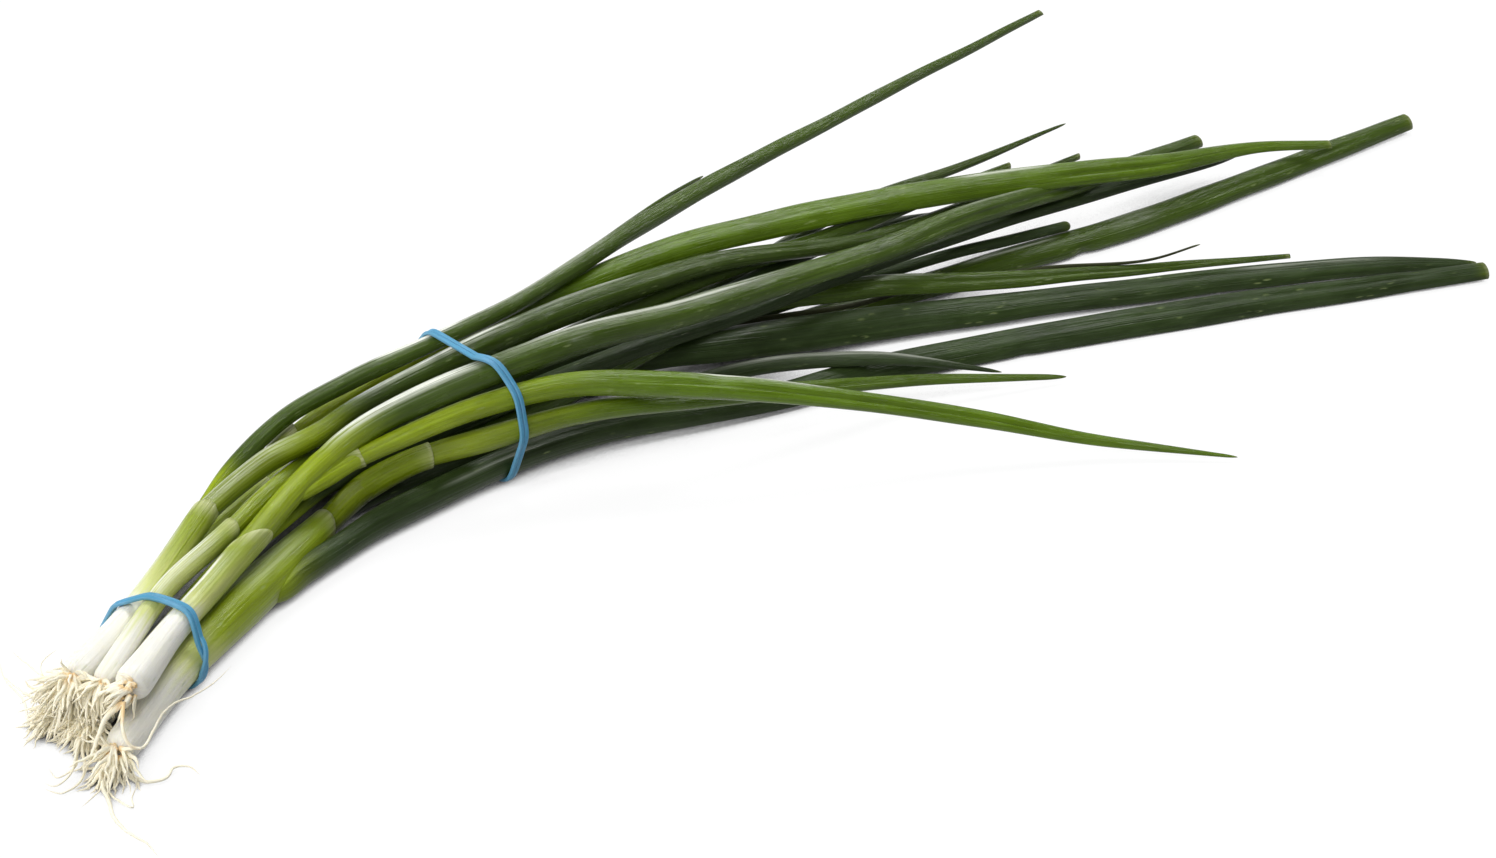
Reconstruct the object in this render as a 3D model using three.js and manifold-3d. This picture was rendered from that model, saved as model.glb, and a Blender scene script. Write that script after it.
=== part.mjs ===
// A bunch of six spring onions lying on its side, held by two rubber bands.
// Millimetres, +Z up, +X along the bunch from the roots to the leaf tips.
// The origin is on the surface that the bunch lies on, under the middle of its box.
import * as THREE from 'three';
import { mergeVertices } from 'three/addons/utils/BufferGeometryUtils.js';
import Module from 'manifold-3d';

const wasm = await Module();
wasm.setup();

// ---------------------------------------------------------------- driving dimensions
const CONTACT_GAP = 0.3; // between pieces that press on each other
const SHAFT_SIDES = 12;
const LEAF_SIDES = 8;
const ROOT_SIDES = 6;
const STEPS_PER_SPAN = 3; // rings between two points of a route
const LEAF_FACE = new THREE.Vector3(-0.2, -0.45, 0.87).normalize(); // way the flat sides look
const FLAT_START = -95; // x where the leaves leave the second band and start to flatten
const FLAT_LENGTH = 95; // distance over which they do so
const STRAND_DIAMETER = 1.3; // one strand of a rubber band, which goes round twice
const STRAND_PITCH = 1.7; // between the middles of the two turns
const CROSSING_LENGTH = 9; // stretch over which the two turns change places
const BAND_STEPS = 40; // rings in one turn
const BAND_SIDES = 6;
const TUFT_LENGTH = 9; // root plate with its short roots
const TUFT_SIDES = 10;
const LONG_ROOT_DIAMETER = 1.3;
const SKIN_LINES = 16; // lines along a piece that are followed to find where a band crosses it
const SKIN_STEPS = 60;
const TOUCH_VOLUME = 0.003; // overlap that is cut away, in cubic millimetres
const UP = new THREE.Vector3(0, 1, 0);
const TO_BOX_MIDDLE = [7.4, 8.8, 0.14]; // move that puts the origin under the middle of the box

// ---------------------------------------------------------------- colours
const WHITE_SHAFT = '#e3e6c4';
const ROOT_CREAM = '#e2cfa4';
const BAND_BLUE = '#3f86b8';
const BRIGHT_LEAF = '#5f7f22';
const MID_LEAF = '#49632a';
const DARK_LEAF = '#2f4230';

// ---------------------------------------------------------------- routes
// Each row is one point of a middle line and the piece's width there: [x, y, z, width].
// The whole bunch is moved by TO_BOX_MIDDLE after it is put together.
// "flat" is thickness over width where a leaf lies free; it is round where it is tied.
const PLANTS = [
  {
    name: 'onion_1',
    shaft: [[-268.5, -74, 18, 10], [-240.5, -49, 16.5, 7.8], [-209.5, -20, 20.5, 8]],
    leaves: [
      {
        name: 'sheath_leaf', colour: MID_LEAF, flat: 0.7,
        route: [[-209, -20, 20.7, 6.8], [-185, -6.2, 22, 7.4], [-167, -4, 25, 6.9],
          [-150, 0.8, 28, 6.3], [-90, 9.6, 33.4, 9], [-20.5, 21.8, 29.3, 7.8], [49.5, 25.8, 18.9, 5],
          [137.5, 40.5, 18, 2.4]],
      },
      {
        name: 'top_leaf', colour: BRIGHT_LEAF, flat: 0.7,
        route: [[-207, -14.5, 21, 3], [-195.5, -6, 23, 5.3], [-172.5, 6, 28, 5.6],
          [-150.5, 9, 32, 5.8], [-90, 18, 37.5, 5.6], [-20, 52, 34, 6.8], [60, 82.5, 31.5, 5.4],
          [167.5, 117.5, 31, 2.7]],
      },
      {
        name: 'broad_leaf', colour: BRIGHT_LEAF, flat: 0.5,
        route: [[-178, 2.2, 20, 3.8], [-150, 13.5, 23, 5.6], [-90.5, 22, 30, 7.3],
          [-20.5, 35.5, 29, 10], [80, 31.6, 25, 10.1], [157.5, 22.7, 18.5, 8.7],
          [205, 25.9, 11, 4.6], [231.5, 18.8, 9, 3.2]],
      },
    ],
  },
  {
    name: 'onion_2',
    shaft: [[-261.5, -80, 18.5, 6.6], [-231, -49, 20, 6.2], [-204.8, -30, 19.1, 6.8]],
    leaves: [
      {
        name: 'main_leaf', colour: MID_LEAF, flat: 0.7,
        route: [[-204.3, -29.6, 19.1, 5.6], [-178, -9, 17, 6], [-150, 4, 17, 6.2],
          [-90.5, 9.5, 22.5, 6.3], [-20, 23.7, 23.3, 7.2], [29.5, 29.8, 21.2, 6.2],
          [108.5, 40.5, 22, 2.8]],
      },
      {
        name: 'dark_leaf', colour: DARK_LEAF, flat: 0.65,
        route: [[-203.6, -31.6, 17.2, 3], [-172, -15, 17.5, 4.4], [-150, -4.5, 17, 5],
          [-90.5, 9, 14.5, 5.8], [-20.5, 18.5, 17, 5.8], [45.5, 34, 16.5, 5.4],
          [89.5, 31.5, 14, 3.5], [117.5, 32.5, 13.5, 1.6]],
      },
      {
        name: 'thin_leaf', colour: MID_LEAF, flat: 0.7,
        route: [[-203.6, -28, 16.4, 2.8], [-150, -1, 12.6, 3.8], [-90.5, 16, 14, 4.5],
          [-20.5, 25, 16, 4.6], [44, 41.5, 22, 4.6], [89.5, 43.5, 25, 3.4], [135, 46.5, 29, 0.9]],
      },
    ],
  },
  {
    name: 'onion_3',
    shaft: [[-255.5, -87.5, 20, 10.9], [-234.5, -65, 17.5, 8.4], [-203, -40.1, 19.7, 8.4]],
    leaves: [
      {
        name: 'front_leaf', colour: MID_LEAF, flat: 0.6,
        route: [[-202, -39.2, 19.8, 7.6], [-175.5, -20.5, 23.5, 7.6], [-150, -13.7, 31, 8.5],
          [-90.5, -11.8, 38, 9.6], [-34.5, -4.3, 32.5, 9.3], [29.5, 4.5, 28, 8.8],
          [79.5, 14.5, 25, 8.6], [135.2, 29.7, 14.6, 7.4], [187.5, 39, 11.5, 5.2]],
      },
      {
        name: 'drooping_leaf', colour: BRIGHT_LEAF, flat: 0.75,
        route: [[-172, -21.9, 21.5, 5.6], [-160, -20, 24, 5.5], [-150, -19.8, 26, 6.1],
          [-120, -18.9, 29.5, 7.2], [-90.5, -23.2, 31.5, 7.6], [-60.5, -35, 29.5, 8.6],
          [-20.5, -52, 23.5, 7], [29.5, -75, 12.5, 5.8], [63.5, -94, 5, 3.8],
          [100.5, -117, 1.2, 0.9]],
      },
      {
        name: 'under_leaf', colour: DARK_LEAF, flat: 0.6,
        route: [[-202, -38.6, 16.6, 3.6], [-172, -18.5, 14.5, 4.2], [-150, -8, 12, 4.6],
          [-90.5, -5, 20.5, 6.2], [-60.5, -4.5, 23.5, 6.4], [-20.5, 1, 21.5, 6.5],
          [29.5, 9.5, 20, 6.6], [88, 19.5, 16, 7.2], [140, 27.2, 11, 7.2], [200, 31.5, 6, 2.7]],
      },
    ],
  },
  {
    name: 'onion_4',
    shaft: [[-263, -95.3, 5.6, 10], [-236, -71, 7.4, 11], [-208, -49.4, 7.1, 14],
      [-174.5, -25.5, 6.8, 9.6]],
    leaves: [
      {
        name: 'inner_leaf', colour: BRIGHT_LEAF, flat: 0.6,
        route: [[-173.5, -24.5, 6.8, 7.9], [-158, -15.9, 9, 8.6], [-141, -16.3, 14, 7.2],
          [-120.5, -21.6, 18.5, 7.5], [-90.5, -26.2, 22, 6.8], [-51, -34, 20, 6.1],
          [23.5, -41, 8, 4.3], [75, -54.5, 1.6, 1.8]],
      },
      {
        name: 'bottom_leaf', colour: DARK_LEAF, flat: 0.42,
        route: [[-198, -48.2, 5.6, 6.1], [-187, -42, 5.8, 7.9], [-172, -35.8, 5.9, 8.4],
          [-154, -29.2, 6, 9.2], [-90.5, -17.9, 6.4, 8.7], [-21, -24.5, 4.4, 9.2],
          [25.5, -26, 3.8, 10], [122, -42, 3.4, 10.6], [236.5, -67, 2.8, 6.5]],
      },
      {
        name: 'grey_leaf', colour: DARK_LEAF, flat: 0.6,
        route: [[-173, -21.5, 3.6, 3.2], [-150, -15, 4, 4.4], [-90.5, -9.5, 4.6, 5.4],
          [-20, -9.5, 7, 5.8], [13.5, -24, 9.2, 5.4], [33, -34.5, 8.6, 3.6], [55.5, -45.5, 4, 0.9]],
      },
    ],
  },
  {
    name: 'onion_5',
    shaft: [[-265.5, -79, 5.4, 9.9], [-237.5, -56, 6, 8.4], [-211.5, -33, 5.8, 8],
      [-181, -10.5, 5.6, 7.5]],
    leaves: [
      {
        name: 'wide_leaf', colour: DARK_LEAF, flat: 0.4,
        route: [[-180, -9.5, 5.6, 6.5], [-150, 0, 6, 8], [-90.5, 2, 7, 8.7], [-60, 5.5, 12, 9.8],
          [-20.5, 2.5, 9.5, 12.2], [29, -4, 6, 12.2], [86.5, -16.3, 4.5, 10.2],
          [193.5, -44.4, 3.4, 7.8], [236.5, -62, 3.2, 2.5]],
      },
      {
        name: 'narrow_leaf', colour: MID_LEAF, flat: 0.5,
        route: [[-181, -11.5, 8, 3.6], [-150, -7, 7.5, 4], [-90.5, -7, 13.5, 5.6],
          [-60.5, -1.5, 17, 6.4], [-20.5, 9.4, 17.6, 8.1], [29.5, 7.3, 13.7, 8.1], [83.5, -7.5, 10, 6.3],
          [181, -29.5, 3.4, 1.8]],
      },
      {
        name: 'short_leaf', colour: DARK_LEAF, flat: 0.75,
        route: [[-181, -7.5, 3.6, 2.8], [-150, 7.5, 3.8, 3.6], [-90.5, 9.5, 4, 4],
          [-60.5, 6, 4, 4.2], [-40.5, 9.9, 7.4, 4.2], [-19.6, 13.7, 8.1, 4.3], [45, 16, 10.4, 4.4],
          [119, 15.5, 8.6, 3.8]],
      },
    ],
  },
  {
    name: 'onion_6',
    shaft: [[-271.5, -70, 5.4, 10], [-239.5, -41, 6, 8.6], [-206.5, -12, 6, 8],
      [-184, 3.5, 5.6, 7.6]],
    leaves: [
      {
        name: 'long_leaf', colour: MID_LEAF, flat: 0.5,
        route: [[-183, 4.5, 5.6, 6.6], [-158, 15.5, 5.6, 6.6], [-130, 20.5, 5.8, 7.2],
          [-90.5, 18.5, 6, 8], [-20.5, 11, 4, 8.8], [29.5, 10.5, 3.8, 9], [80, 11.5, 3.8, 9.8],
          [143, 12, 3.6, 10.2], [216.5, 19.8, 3.4, 8.8], [272.5, 26.5, 3.4, 6.9]],
      },
      {
        name: 'back_leaf', colour: MID_LEAF, flat: 0.8,
        route: [[-183, 5.5, 8, 2], [-150, 16.5, 11, 2.2], [-120, 23.5, 17, 2.3],
          [-90.5, 29.5, 24, 2.3], [-60.5, 40.5, 30, 2.3], [-20.5, 58, 33, 1.9],
          [1.5, 66.5, 33.5, 1.3]],
      },
      {
        name: 'dry_leaf', colour: DARK_LEAF, flat: 0.9,
        route: [[-184, 1.5, 7.5, 1.8], [-150, 9.5, 9, 2], [-90.5, 14, 9.5, 2],
          [-20.5, 11.5, 10.8, 1.9], [29.5, 7.5, 7.2, 1.7], [59.5, 6, 7.4, 1.6],
          [96.5, -6, 9.8, 1.4], [130.5, -17, 9.5, 1], [149.5, -20, 12, 0.7]],
      },
    ],
  },
];

// Each band lies on an upright sheet that passes through "at" and looks "heading" degrees from
// +X in plan. Over the top of the bunch the sheet bows forwards, by "bow" where the distance
// across is "bowAt", and it is upright again "bowReach" to each side of that.
// "crossing" is the place round the loop where the two turns change places, from 0 to 1.
const BANDS = [
  {
    name: 'root_band', round: 'shaft', at: [-237.9, -65.7], heading: 28,
    bow: 10, bowAt: -9.8, bowReach: 27.6, bowHeight: 25, crossing: 0.95,
  },
  {
    name: 'leaf_band', round: 'leaf', at: [-113, -20.4], heading: 13,
    bow: 10, bowAt: -14.7, bowReach: 25.5, bowHeight: 65, crossing: 0.52,
  },
];

// Long roots that trail on the surface, by the plant that they grow from.
const LONG_ROOTS = {
  onion_1: [[[-274, -77, 17], [-281, -76, 14], [-285, -70, 11], [-287, -62, 9]]],
  onion_2: [],
  onion_3: [[[-260, -92, 19], [-263, -99, 16], [-260, -101, 11], [-252, -96, 9], [-241, -86, 8],
    [-224, -78, 8]]],
  onion_4: [
    [[-267, -97, 5], [-270, -104, 1.6], [-271, -113, 1], [-269, -125, 1], [-265, -136, 1]],
    [[-266, -97, 4], [-264, -102, 1.6], [-258, -107, 1], [-251, -106, 1], [-244, -110, 1]],
  ],
  onion_5: [
    [[-272, -83, 4], [-276, -90, 1.6], [-280, -93, 1], [-281, -87, 1]],
    [[-271, -84, 4], [-275, -95, 1.6], [-280, -99, 1], [-285, -96, 1]],
  ],
  onion_6: [[[-277, -73, 5], [-280, -68, 1.8], [-279, -56, 1], [-281, -44, 1], [-280, -36, 1]]],
};

// ---------------------------------------------------------------- stalks and leaves
function flatness(x, flat) {
  const t = THREE.MathUtils.clamp((x - FLAT_START) / FLAT_LENGTH, 0, 1);
  return THREE.MathUtils.lerp(1, flat, t * t * (3 - 2 * t));
}

// The middle line of a route, with the width and thickness at each parameter from 0 to 1.
function middleLine(route, flat) {
  const line = new THREE.CatmullRomCurve3(route.map(([x, y, z]) => new THREE.Vector3(x, y, z)));
  const widths = new THREE.CatmullRomCurve3(
    route.map(([x, , , width]) => new THREE.Vector3(width, width * flatness(x, flat), x)));
  return { line, widths, spans: route.length - 1 };
}

// A point on the skin of a piece: t along it, angle round it, grown outwards by "extra".
function skinPoint(piece, t, angle, extra, radius = 1) {
  const { line, widths } = piece;
  const tangent = line.getTangent(t);
  const across = new THREE.Vector3().crossVectors(tangent, LEAF_FACE).normalize();
  const up = new THREE.Vector3().crossVectors(across, tangent);
  const size = widths.getPoint(t);
  return line.getPoint(t)
    .addScaledVector(across, (size.x / 2 + extra) * radius * Math.cos(angle))
    .addScaledVector(up, (size.y / 2 + extra) * radius * Math.sin(angle));
}

// A closed cylinder bent along the middle line.
function tube(piece, sides, extra = 0) {
  const geometry = new THREE.CylinderGeometry(1, 1, 1, sides, piece.spans * STEPS_PER_SPAN);
  const position = geometry.attributes.position;
  for (let i = 0; i < position.count; i += 1) {
    const radius = Math.hypot(position.getX(i), position.getZ(i));
    const angle = Math.atan2(position.getZ(i), position.getX(i));
    const t = THREE.MathUtils.clamp(position.getY(i) + 0.5, 0, 1);
    const point = skinPoint(piece, t, angle, extra, radius);
    position.setXYZ(i, point.x, point.y, point.z);
  }
  return solidOf(geometry);
}

function solidOf(geometry) {
  geometry.deleteAttribute('normal');
  geometry.deleteAttribute('uv');
  const merged = mergeVertices(geometry, 1e-4);
  return new wasm.Manifold(new wasm.Mesh({
    numProp: 3,
    vertProperties: new Float32Array(merged.attributes.position.array),
    triVerts: new Uint32Array(merged.index.array),
  }));
}

// ---------------------------------------------------------------- roots
// A squat tuft behind the root end of a stalk, and the long roots that leave it.
function roots(plant, extra = 0) {
  const stalk = middleLine(plant.shaft, 1);
  const start = stalk.line.getPoint(0);
  const back = stalk.line.getTangent(0).negate();
  const radius = stalk.widths.getPoint(0).x / 2;
  const outline = [[0, 0], [0.86, 0], [1, 0.3], [0.98, 0.6], [0.66, 0.88], [0, 1]].map(
    ([r, y]) => new THREE.Vector2(
      r === 0 ? 0 : r * radius + extra, y * (TUFT_LENGTH + 2 * extra) - extra));
  const tuft = new THREE.LatheGeometry(outline, TUFT_SIDES);
  tuft.applyQuaternion(new THREE.Quaternion().setFromUnitVectors(UP, back));
  const from = start.addScaledVector(back, CONTACT_GAP);
  tuft.translate(from.x, from.y, from.z);
  return LONG_ROOTS[plant.name].reduce((whole, route) => {
    const routeAndWidth = route.map((point) => [...point, LONG_ROOT_DIAMETER]);
    return whole.add(tube(middleLine(routeAndWidth, 1), ROOT_SIDES, extra));
  }, solidOf(tuft));
}

// ---------------------------------------------------------------- rubber bands
function bandFrame(band) {
  const heading = THREE.MathUtils.degToRad(band.heading);
  const forward = new THREE.Vector3(Math.cos(heading), Math.sin(heading), 0);
  const sideways = new THREE.Vector3(-forward.y, forward.x, 0);
  const at = new THREE.Vector3(band.at[0], band.at[1], 0);
  return { forward, sideways, at };
}

function bowAhead(band, across, height) {
  const reach = (across - band.bowAt) / band.bowReach;
  const share = THREE.MathUtils.clamp(height / band.bowHeight, 0, 1);
  return band.bow * Math.max(0, 1 - reach * reach) * share;
}

// Where the skin of the pieces passes through the sheet of a band, as [across, height] points.
function crossings(band, pieces) {
  const { forward, sideways, at } = bandFrame(band);
  const points = [];
  const ahead = (point) => {
    const offset = point.clone().sub(at);
    return offset.dot(forward) - bowAhead(band, offset.dot(sideways), point.z);
  };
  for (const piece of pieces) {
    for (let side = 0; side < SKIN_LINES; side += 1) {
      const angle = (side / SKIN_LINES) * 2 * Math.PI;
      for (let step = 0; step < SKIN_STEPS; step += 1) {
        const here = skinPoint(piece, step / SKIN_STEPS, angle, 0);
        const next = skinPoint(piece, (step + 1) / SKIN_STEPS, angle, 0);
        for (const turn of [-STRAND_PITCH, STRAND_PITCH]) {
          const before = ahead(here) - turn;
          const after = ahead(next) - turn;
          if (before < 0 && after >= 0) {
            const crossing = here.clone().lerp(next, before / (before - after));
            points.push([crossing.clone().sub(at).dot(sideways), crossing.z]);
          }
        }
      }
    }
  }
  return points;
}

// The convex outline round a set of flat points, counter-clockwise.
function outlineRound(points) {
  const sorted = [...points].sort((a, b) => a[0] - b[0] || a[1] - b[1]);
  const half = (list) => {
    const chain = [];
    for (const p of list) {
      while (chain.length > 1) {
        const [a, b] = chain.slice(-2);
        if ((b[0] - a[0]) * (p[1] - a[1]) - (b[1] - a[1]) * (p[0] - a[0]) > 0) break;
        chain.pop();
      }
      chain.push(p);
    }
    return chain.slice(0, -1);
  };
  return [...half(sorted), ...half(sorted.reverse())];
}

// The taut loop of a band round its pieces, as a closed flat curve of [across, height].
function tautLoop(band, pieces) {
  const reach = CONTACT_GAP + STRAND_DIAMETER / 2;
  const swollen = crossings(band, pieces).flatMap(([across, height]) => (
    Array.from({ length: SKIN_LINES }, (_, i) => {
      const angle = (i / SKIN_LINES) * 2 * Math.PI;
      return [across + reach * Math.cos(angle), height + reach * Math.sin(angle)];
    })));
  const path = new THREE.CurvePath();
  const corners = outlineRound(swollen).map(([x, y]) => new THREE.Vector2(x, y));
  corners.forEach((corner, i) => {
    path.add(new THREE.LineCurve(corner, corners[(i + 1) % corners.length]));
  });
  return path;
}

// One strand that goes round twice and changes places with itself at the crossing.
function rubberBand(band, pieces) {
  const { forward, sideways, at } = bandFrame(band);
  const loop = tautLoop(band, pieces);
  const crossingShare = CROSSING_LENGTH / loop.getLength() / 2;
  const centre = loop.getPointAt(0).add(loop.getPointAt(0.5)).multiplyScalar(0.5);
  const middles = [];
  for (let i = 0; i < 2 * BAND_STEPS; i += 1) {
    const turns = i / BAND_STEPS;
    const fromCrossing = (turns % 1) - 0.5;
    const flat = loop.getPointAt((turns + band.crossing + 0.5) % 1);
    const swap = THREE.MathUtils.clamp(fromCrossing / crossingShare, -1, 1);
    const side = (turns < 1 ? 1 : -1) * Math.sin((swap * Math.PI) / 2) * (STRAND_PITCH / 2);
    const lift = turns < 1 ? 0 : Math.cos((swap * Math.PI) / 2) * (STRAND_DIAMETER + CONTACT_GAP);
    const outwards = flat.clone().sub(centre).normalize();
    flat.addScaledVector(outwards, lift);
    middles.push(at.clone()
      .addScaledVector(sideways, flat.x)
      .addScaledVector(forward, bowAhead(band, flat.x, flat.y) + side)
      .setZ(flat.y));
  }
  const strand = new THREE.CatmullRomCurve3(middles, true);
  const geometry = new THREE.TorusGeometry(1, 1, BAND_SIDES, 2 * BAND_STEPS);
  const { position, uv } = geometry.attributes;
  for (let i = 0; i < position.count; i += 1) {
    const t = uv.getX(i) % 1;
    const angle = uv.getY(i) * 2 * Math.PI;
    const tangent = strand.getTangent(t);
    const outwards = new THREE.Vector3().crossVectors(tangent, forward).normalize();
    const along = new THREE.Vector3().crossVectors(outwards, tangent);
    const point = strand.getPoint(t)
      .addScaledVector(outwards, (STRAND_DIAMETER / 2) * Math.cos(angle))
      .addScaledVector(along, (STRAND_DIAMETER / 2) * Math.sin(angle));
    position.setXYZ(i, point.x, point.y, point.z);
  }
  return solidOf(geometry);
}

// ---------------------------------------------------------------- assembly
const parts = [];
const shaftLines = [];
const leafLines = [];

// Cuts a piece back from the pieces before it, so that each stands clear of the others.
function addPart(name, colour, roughness, make) {
  let solid = make(0);
  for (const earlier of parts) {
    if (solid.intersect(earlier.solid).volume() > TOUCH_VOLUME) {
      solid = solid.subtract(earlier.make(CONTACT_GAP));
    }
  }
  const bodies = solid.decompose().sort((a, b) => b.volume() - a.volume());
  parts.push({ name, colour, roughness, solid: bodies[0], make });
}

for (const plant of PLANTS) {
  const stalk = middleLine(plant.shaft, 1);
  shaftLines.push(stalk);
  addPart(`${plant.name}_shaft`, WHITE_SHAFT, 0.4, (extra) => tube(stalk, SHAFT_SIDES, extra));
}
for (const plant of PLANTS) {
  for (const leaf of plant.leaves) {
    const blade = middleLine(leaf.route, leaf.flat);
    leafLines.push(blade);
    const name = `${plant.name}_${leaf.name}`;
    addPart(name, leaf.colour, 0.45, (extra) => tube(blade, LEAF_SIDES, extra));
  }
}
for (const plant of PLANTS) {
  addPart(`${plant.name}_roots`, ROOT_CREAM, 0.8, (extra) => roots(plant, extra));
}
for (const band of BANDS) {
  const held = band.round === 'shaft' ? shaftLines : leafLines;
  addPart(band.name, BAND_BLUE, 0.55, () => rubberBand(band, held));
}

const bunch = new THREE.Group();
bunch.name = 'spring_onion_bunch';
for (const { name, colour, roughness, solid } of parts) {
  const { vertProperties, triVerts } = solid.getMesh();
  const geometry = new THREE.BufferGeometry();
  geometry.setAttribute('position', new THREE.BufferAttribute(vertProperties, 3));
  geometry.setIndex(new THREE.BufferAttribute(triVerts, 1));
  geometry.translate(...TO_BOX_MIDDLE);
  geometry.computeVertexNormals();
  const material = new THREE.MeshStandardMaterial({ color: colour, roughness, metalness: 0 });
  const mesh = new THREE.Mesh(geometry, material);
  mesh.name = name;
  bunch.add(mesh);
}

export default bunch;
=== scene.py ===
"""Bunch of six spring onions, lying on its side and held by two rubber bands."""
import math

import bpy
import numpy as np
from bpy.props import FloatProperty, FloatVectorProperty, PointerProperty
from bpy.types import Operator, Panel, PropertyGroup
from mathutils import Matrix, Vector


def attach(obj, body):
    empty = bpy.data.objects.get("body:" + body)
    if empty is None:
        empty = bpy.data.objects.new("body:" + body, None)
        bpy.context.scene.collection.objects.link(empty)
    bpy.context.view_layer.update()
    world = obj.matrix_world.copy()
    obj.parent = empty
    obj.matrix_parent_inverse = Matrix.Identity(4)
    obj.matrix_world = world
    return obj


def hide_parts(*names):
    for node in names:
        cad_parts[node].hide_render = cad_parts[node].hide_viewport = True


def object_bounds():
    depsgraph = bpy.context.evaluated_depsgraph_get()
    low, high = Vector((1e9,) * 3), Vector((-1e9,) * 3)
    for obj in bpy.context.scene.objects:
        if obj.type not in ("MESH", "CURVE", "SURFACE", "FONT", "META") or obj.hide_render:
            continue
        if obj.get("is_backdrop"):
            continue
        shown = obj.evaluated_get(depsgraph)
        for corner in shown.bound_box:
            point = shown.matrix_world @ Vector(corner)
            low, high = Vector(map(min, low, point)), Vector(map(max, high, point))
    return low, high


bl_info = {
    "name": "Spring onion bunch",
    "version": (1, 0, 0),
    "blender": (4, 5, 0),
    "location": "View3D > Sidebar > Bunch",
    "description": "Makes the stalks, leaves, roots, bands and studio of a bunch of spring onions",
    "category": "Object",
}

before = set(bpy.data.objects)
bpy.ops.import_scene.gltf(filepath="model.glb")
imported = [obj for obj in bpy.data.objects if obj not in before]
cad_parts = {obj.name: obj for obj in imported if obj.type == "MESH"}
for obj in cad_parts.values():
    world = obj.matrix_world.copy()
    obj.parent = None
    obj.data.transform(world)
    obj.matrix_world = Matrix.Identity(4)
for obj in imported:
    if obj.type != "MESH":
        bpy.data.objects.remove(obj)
CAD_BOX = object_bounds()

# ------------------------------------------------------------------ the bunch's own dimensions
MM = 0.001
MOVE = np.array([7.4, 8.8, 0.14])  # mm, puts the origin under the middle of the bunch
LEAF_FACE = np.array([-0.2, -0.45, 0.87])  # the way that a flat leaf faces
LEAF_FACE = LEAF_FACE / np.linalg.norm(LEAF_FACE)
FLAT_START = -95.0  # mm along X, where the leaves leave the second band and start to flatten
FLAT_LENGTH = 95.0  # mm, over which they do so
AROUND = 36  # points round a stalk or leaf
STATION = 1.5  # mm between two rings
STALK_SEED, LEAF_SEED, BAND_SEED, ROOT_SEED = 10, 40, 7, 3  # seed for the first of each
LEAF_PATTERN, COLLAR_PATTERN = 20, 60  # where their skins' patterns start, stalks' being 0
STALK_WANDER, LEAF_WANDER = 0.15, 0.12  # mm that their lines stray
STALK_RIBS, LEAF_RIBS = 0.012, 0.02  # height of the ribs, as a share of the radius
LEAF_TWIST = 5  # degrees

TIPS = {"cut": 0.0, "blunt": 0.55, "point": 5.0}  # how long a tip tapers, in its own widths
TIP_FADE = 0.13  # how much less green a leaf is at its very end
TIP_FADE_LENGTH = 7  # mm
FOOT_PLACES = (0, 0.05, 0.4, 0.8, 1.5, 2.6, 4.2)  # mm from the root end of a stalk
FOOT_SHARES = (0.05, 0.36, 0.42, 0.56, 0.8, 0.94, 1)  # of its radius, at each of those places
STALK_FOOT, LEAF_FOOT = 5.0, 2.0  # mm over which the rings at the foot crowd together
STALK_MOUTH, LEAF_MOUTH, COLLAR_MOUTH = 8.0, 9.0, 6.0  # mm that an open end is hollow
# Where a sheath's soft pale band, its thin edge and a leaf's end start and stop paling, mm away.
EDGE_BAND, EDGE_RIM, TIP_RIM = (6.5, 0.5), (1.6, 0.3), (1.6, 0.2)
CUT_RIM, WHOLE_RIM = 0.4, 0.25  # how pale the end of a leaf is
MOUTH_FADE = 12.0  # mm behind an open end, over which its slant is made up
COLLAR_FOOT = -0.45  # mm that a collar's foot stands proud, so that it starts under the skin

PLATE_SHARE = 0.27  # radius of a root plate over the stalk's width
PLATE_SIDES = 16
PLATE_RINGS = ((1, -0.3), (0.94, 0.15), (0.75, 0.5), (0.42, 0.72))  # (out, back), in radii
PLATE_TOP = 0.8  # radii behind the stalk's end
ROOT_POINTS = 16  # points along a short root
ROOT_SIDES, LONG_ROOT_SIDES = 7, 8
TUFT_SPREAD = 0.7  # how far the short roots part
TUFT_CURL = 7 * MM  # how far they wander

BAND_STEPS = 260  # points in one turn of a band
BAND_GAP = 0.35  # mm between a band and what it holds
BAND_SMOOTHING = 16  # times that the corners of its loop are eased
TURN_OFFSET = 1.7  # mm from the middle of a band to the middle of each of its turns
SWAP_LENGTH = 9  # mm, over which the two turns change places
BESIDE_GAP = 0.06  # mm, half the gap between the two turns where they lie side by side
ABOVE_GAP = 0.1  # mm between them where one lies on the other
BAND_TWIST = 14  # degrees

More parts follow.
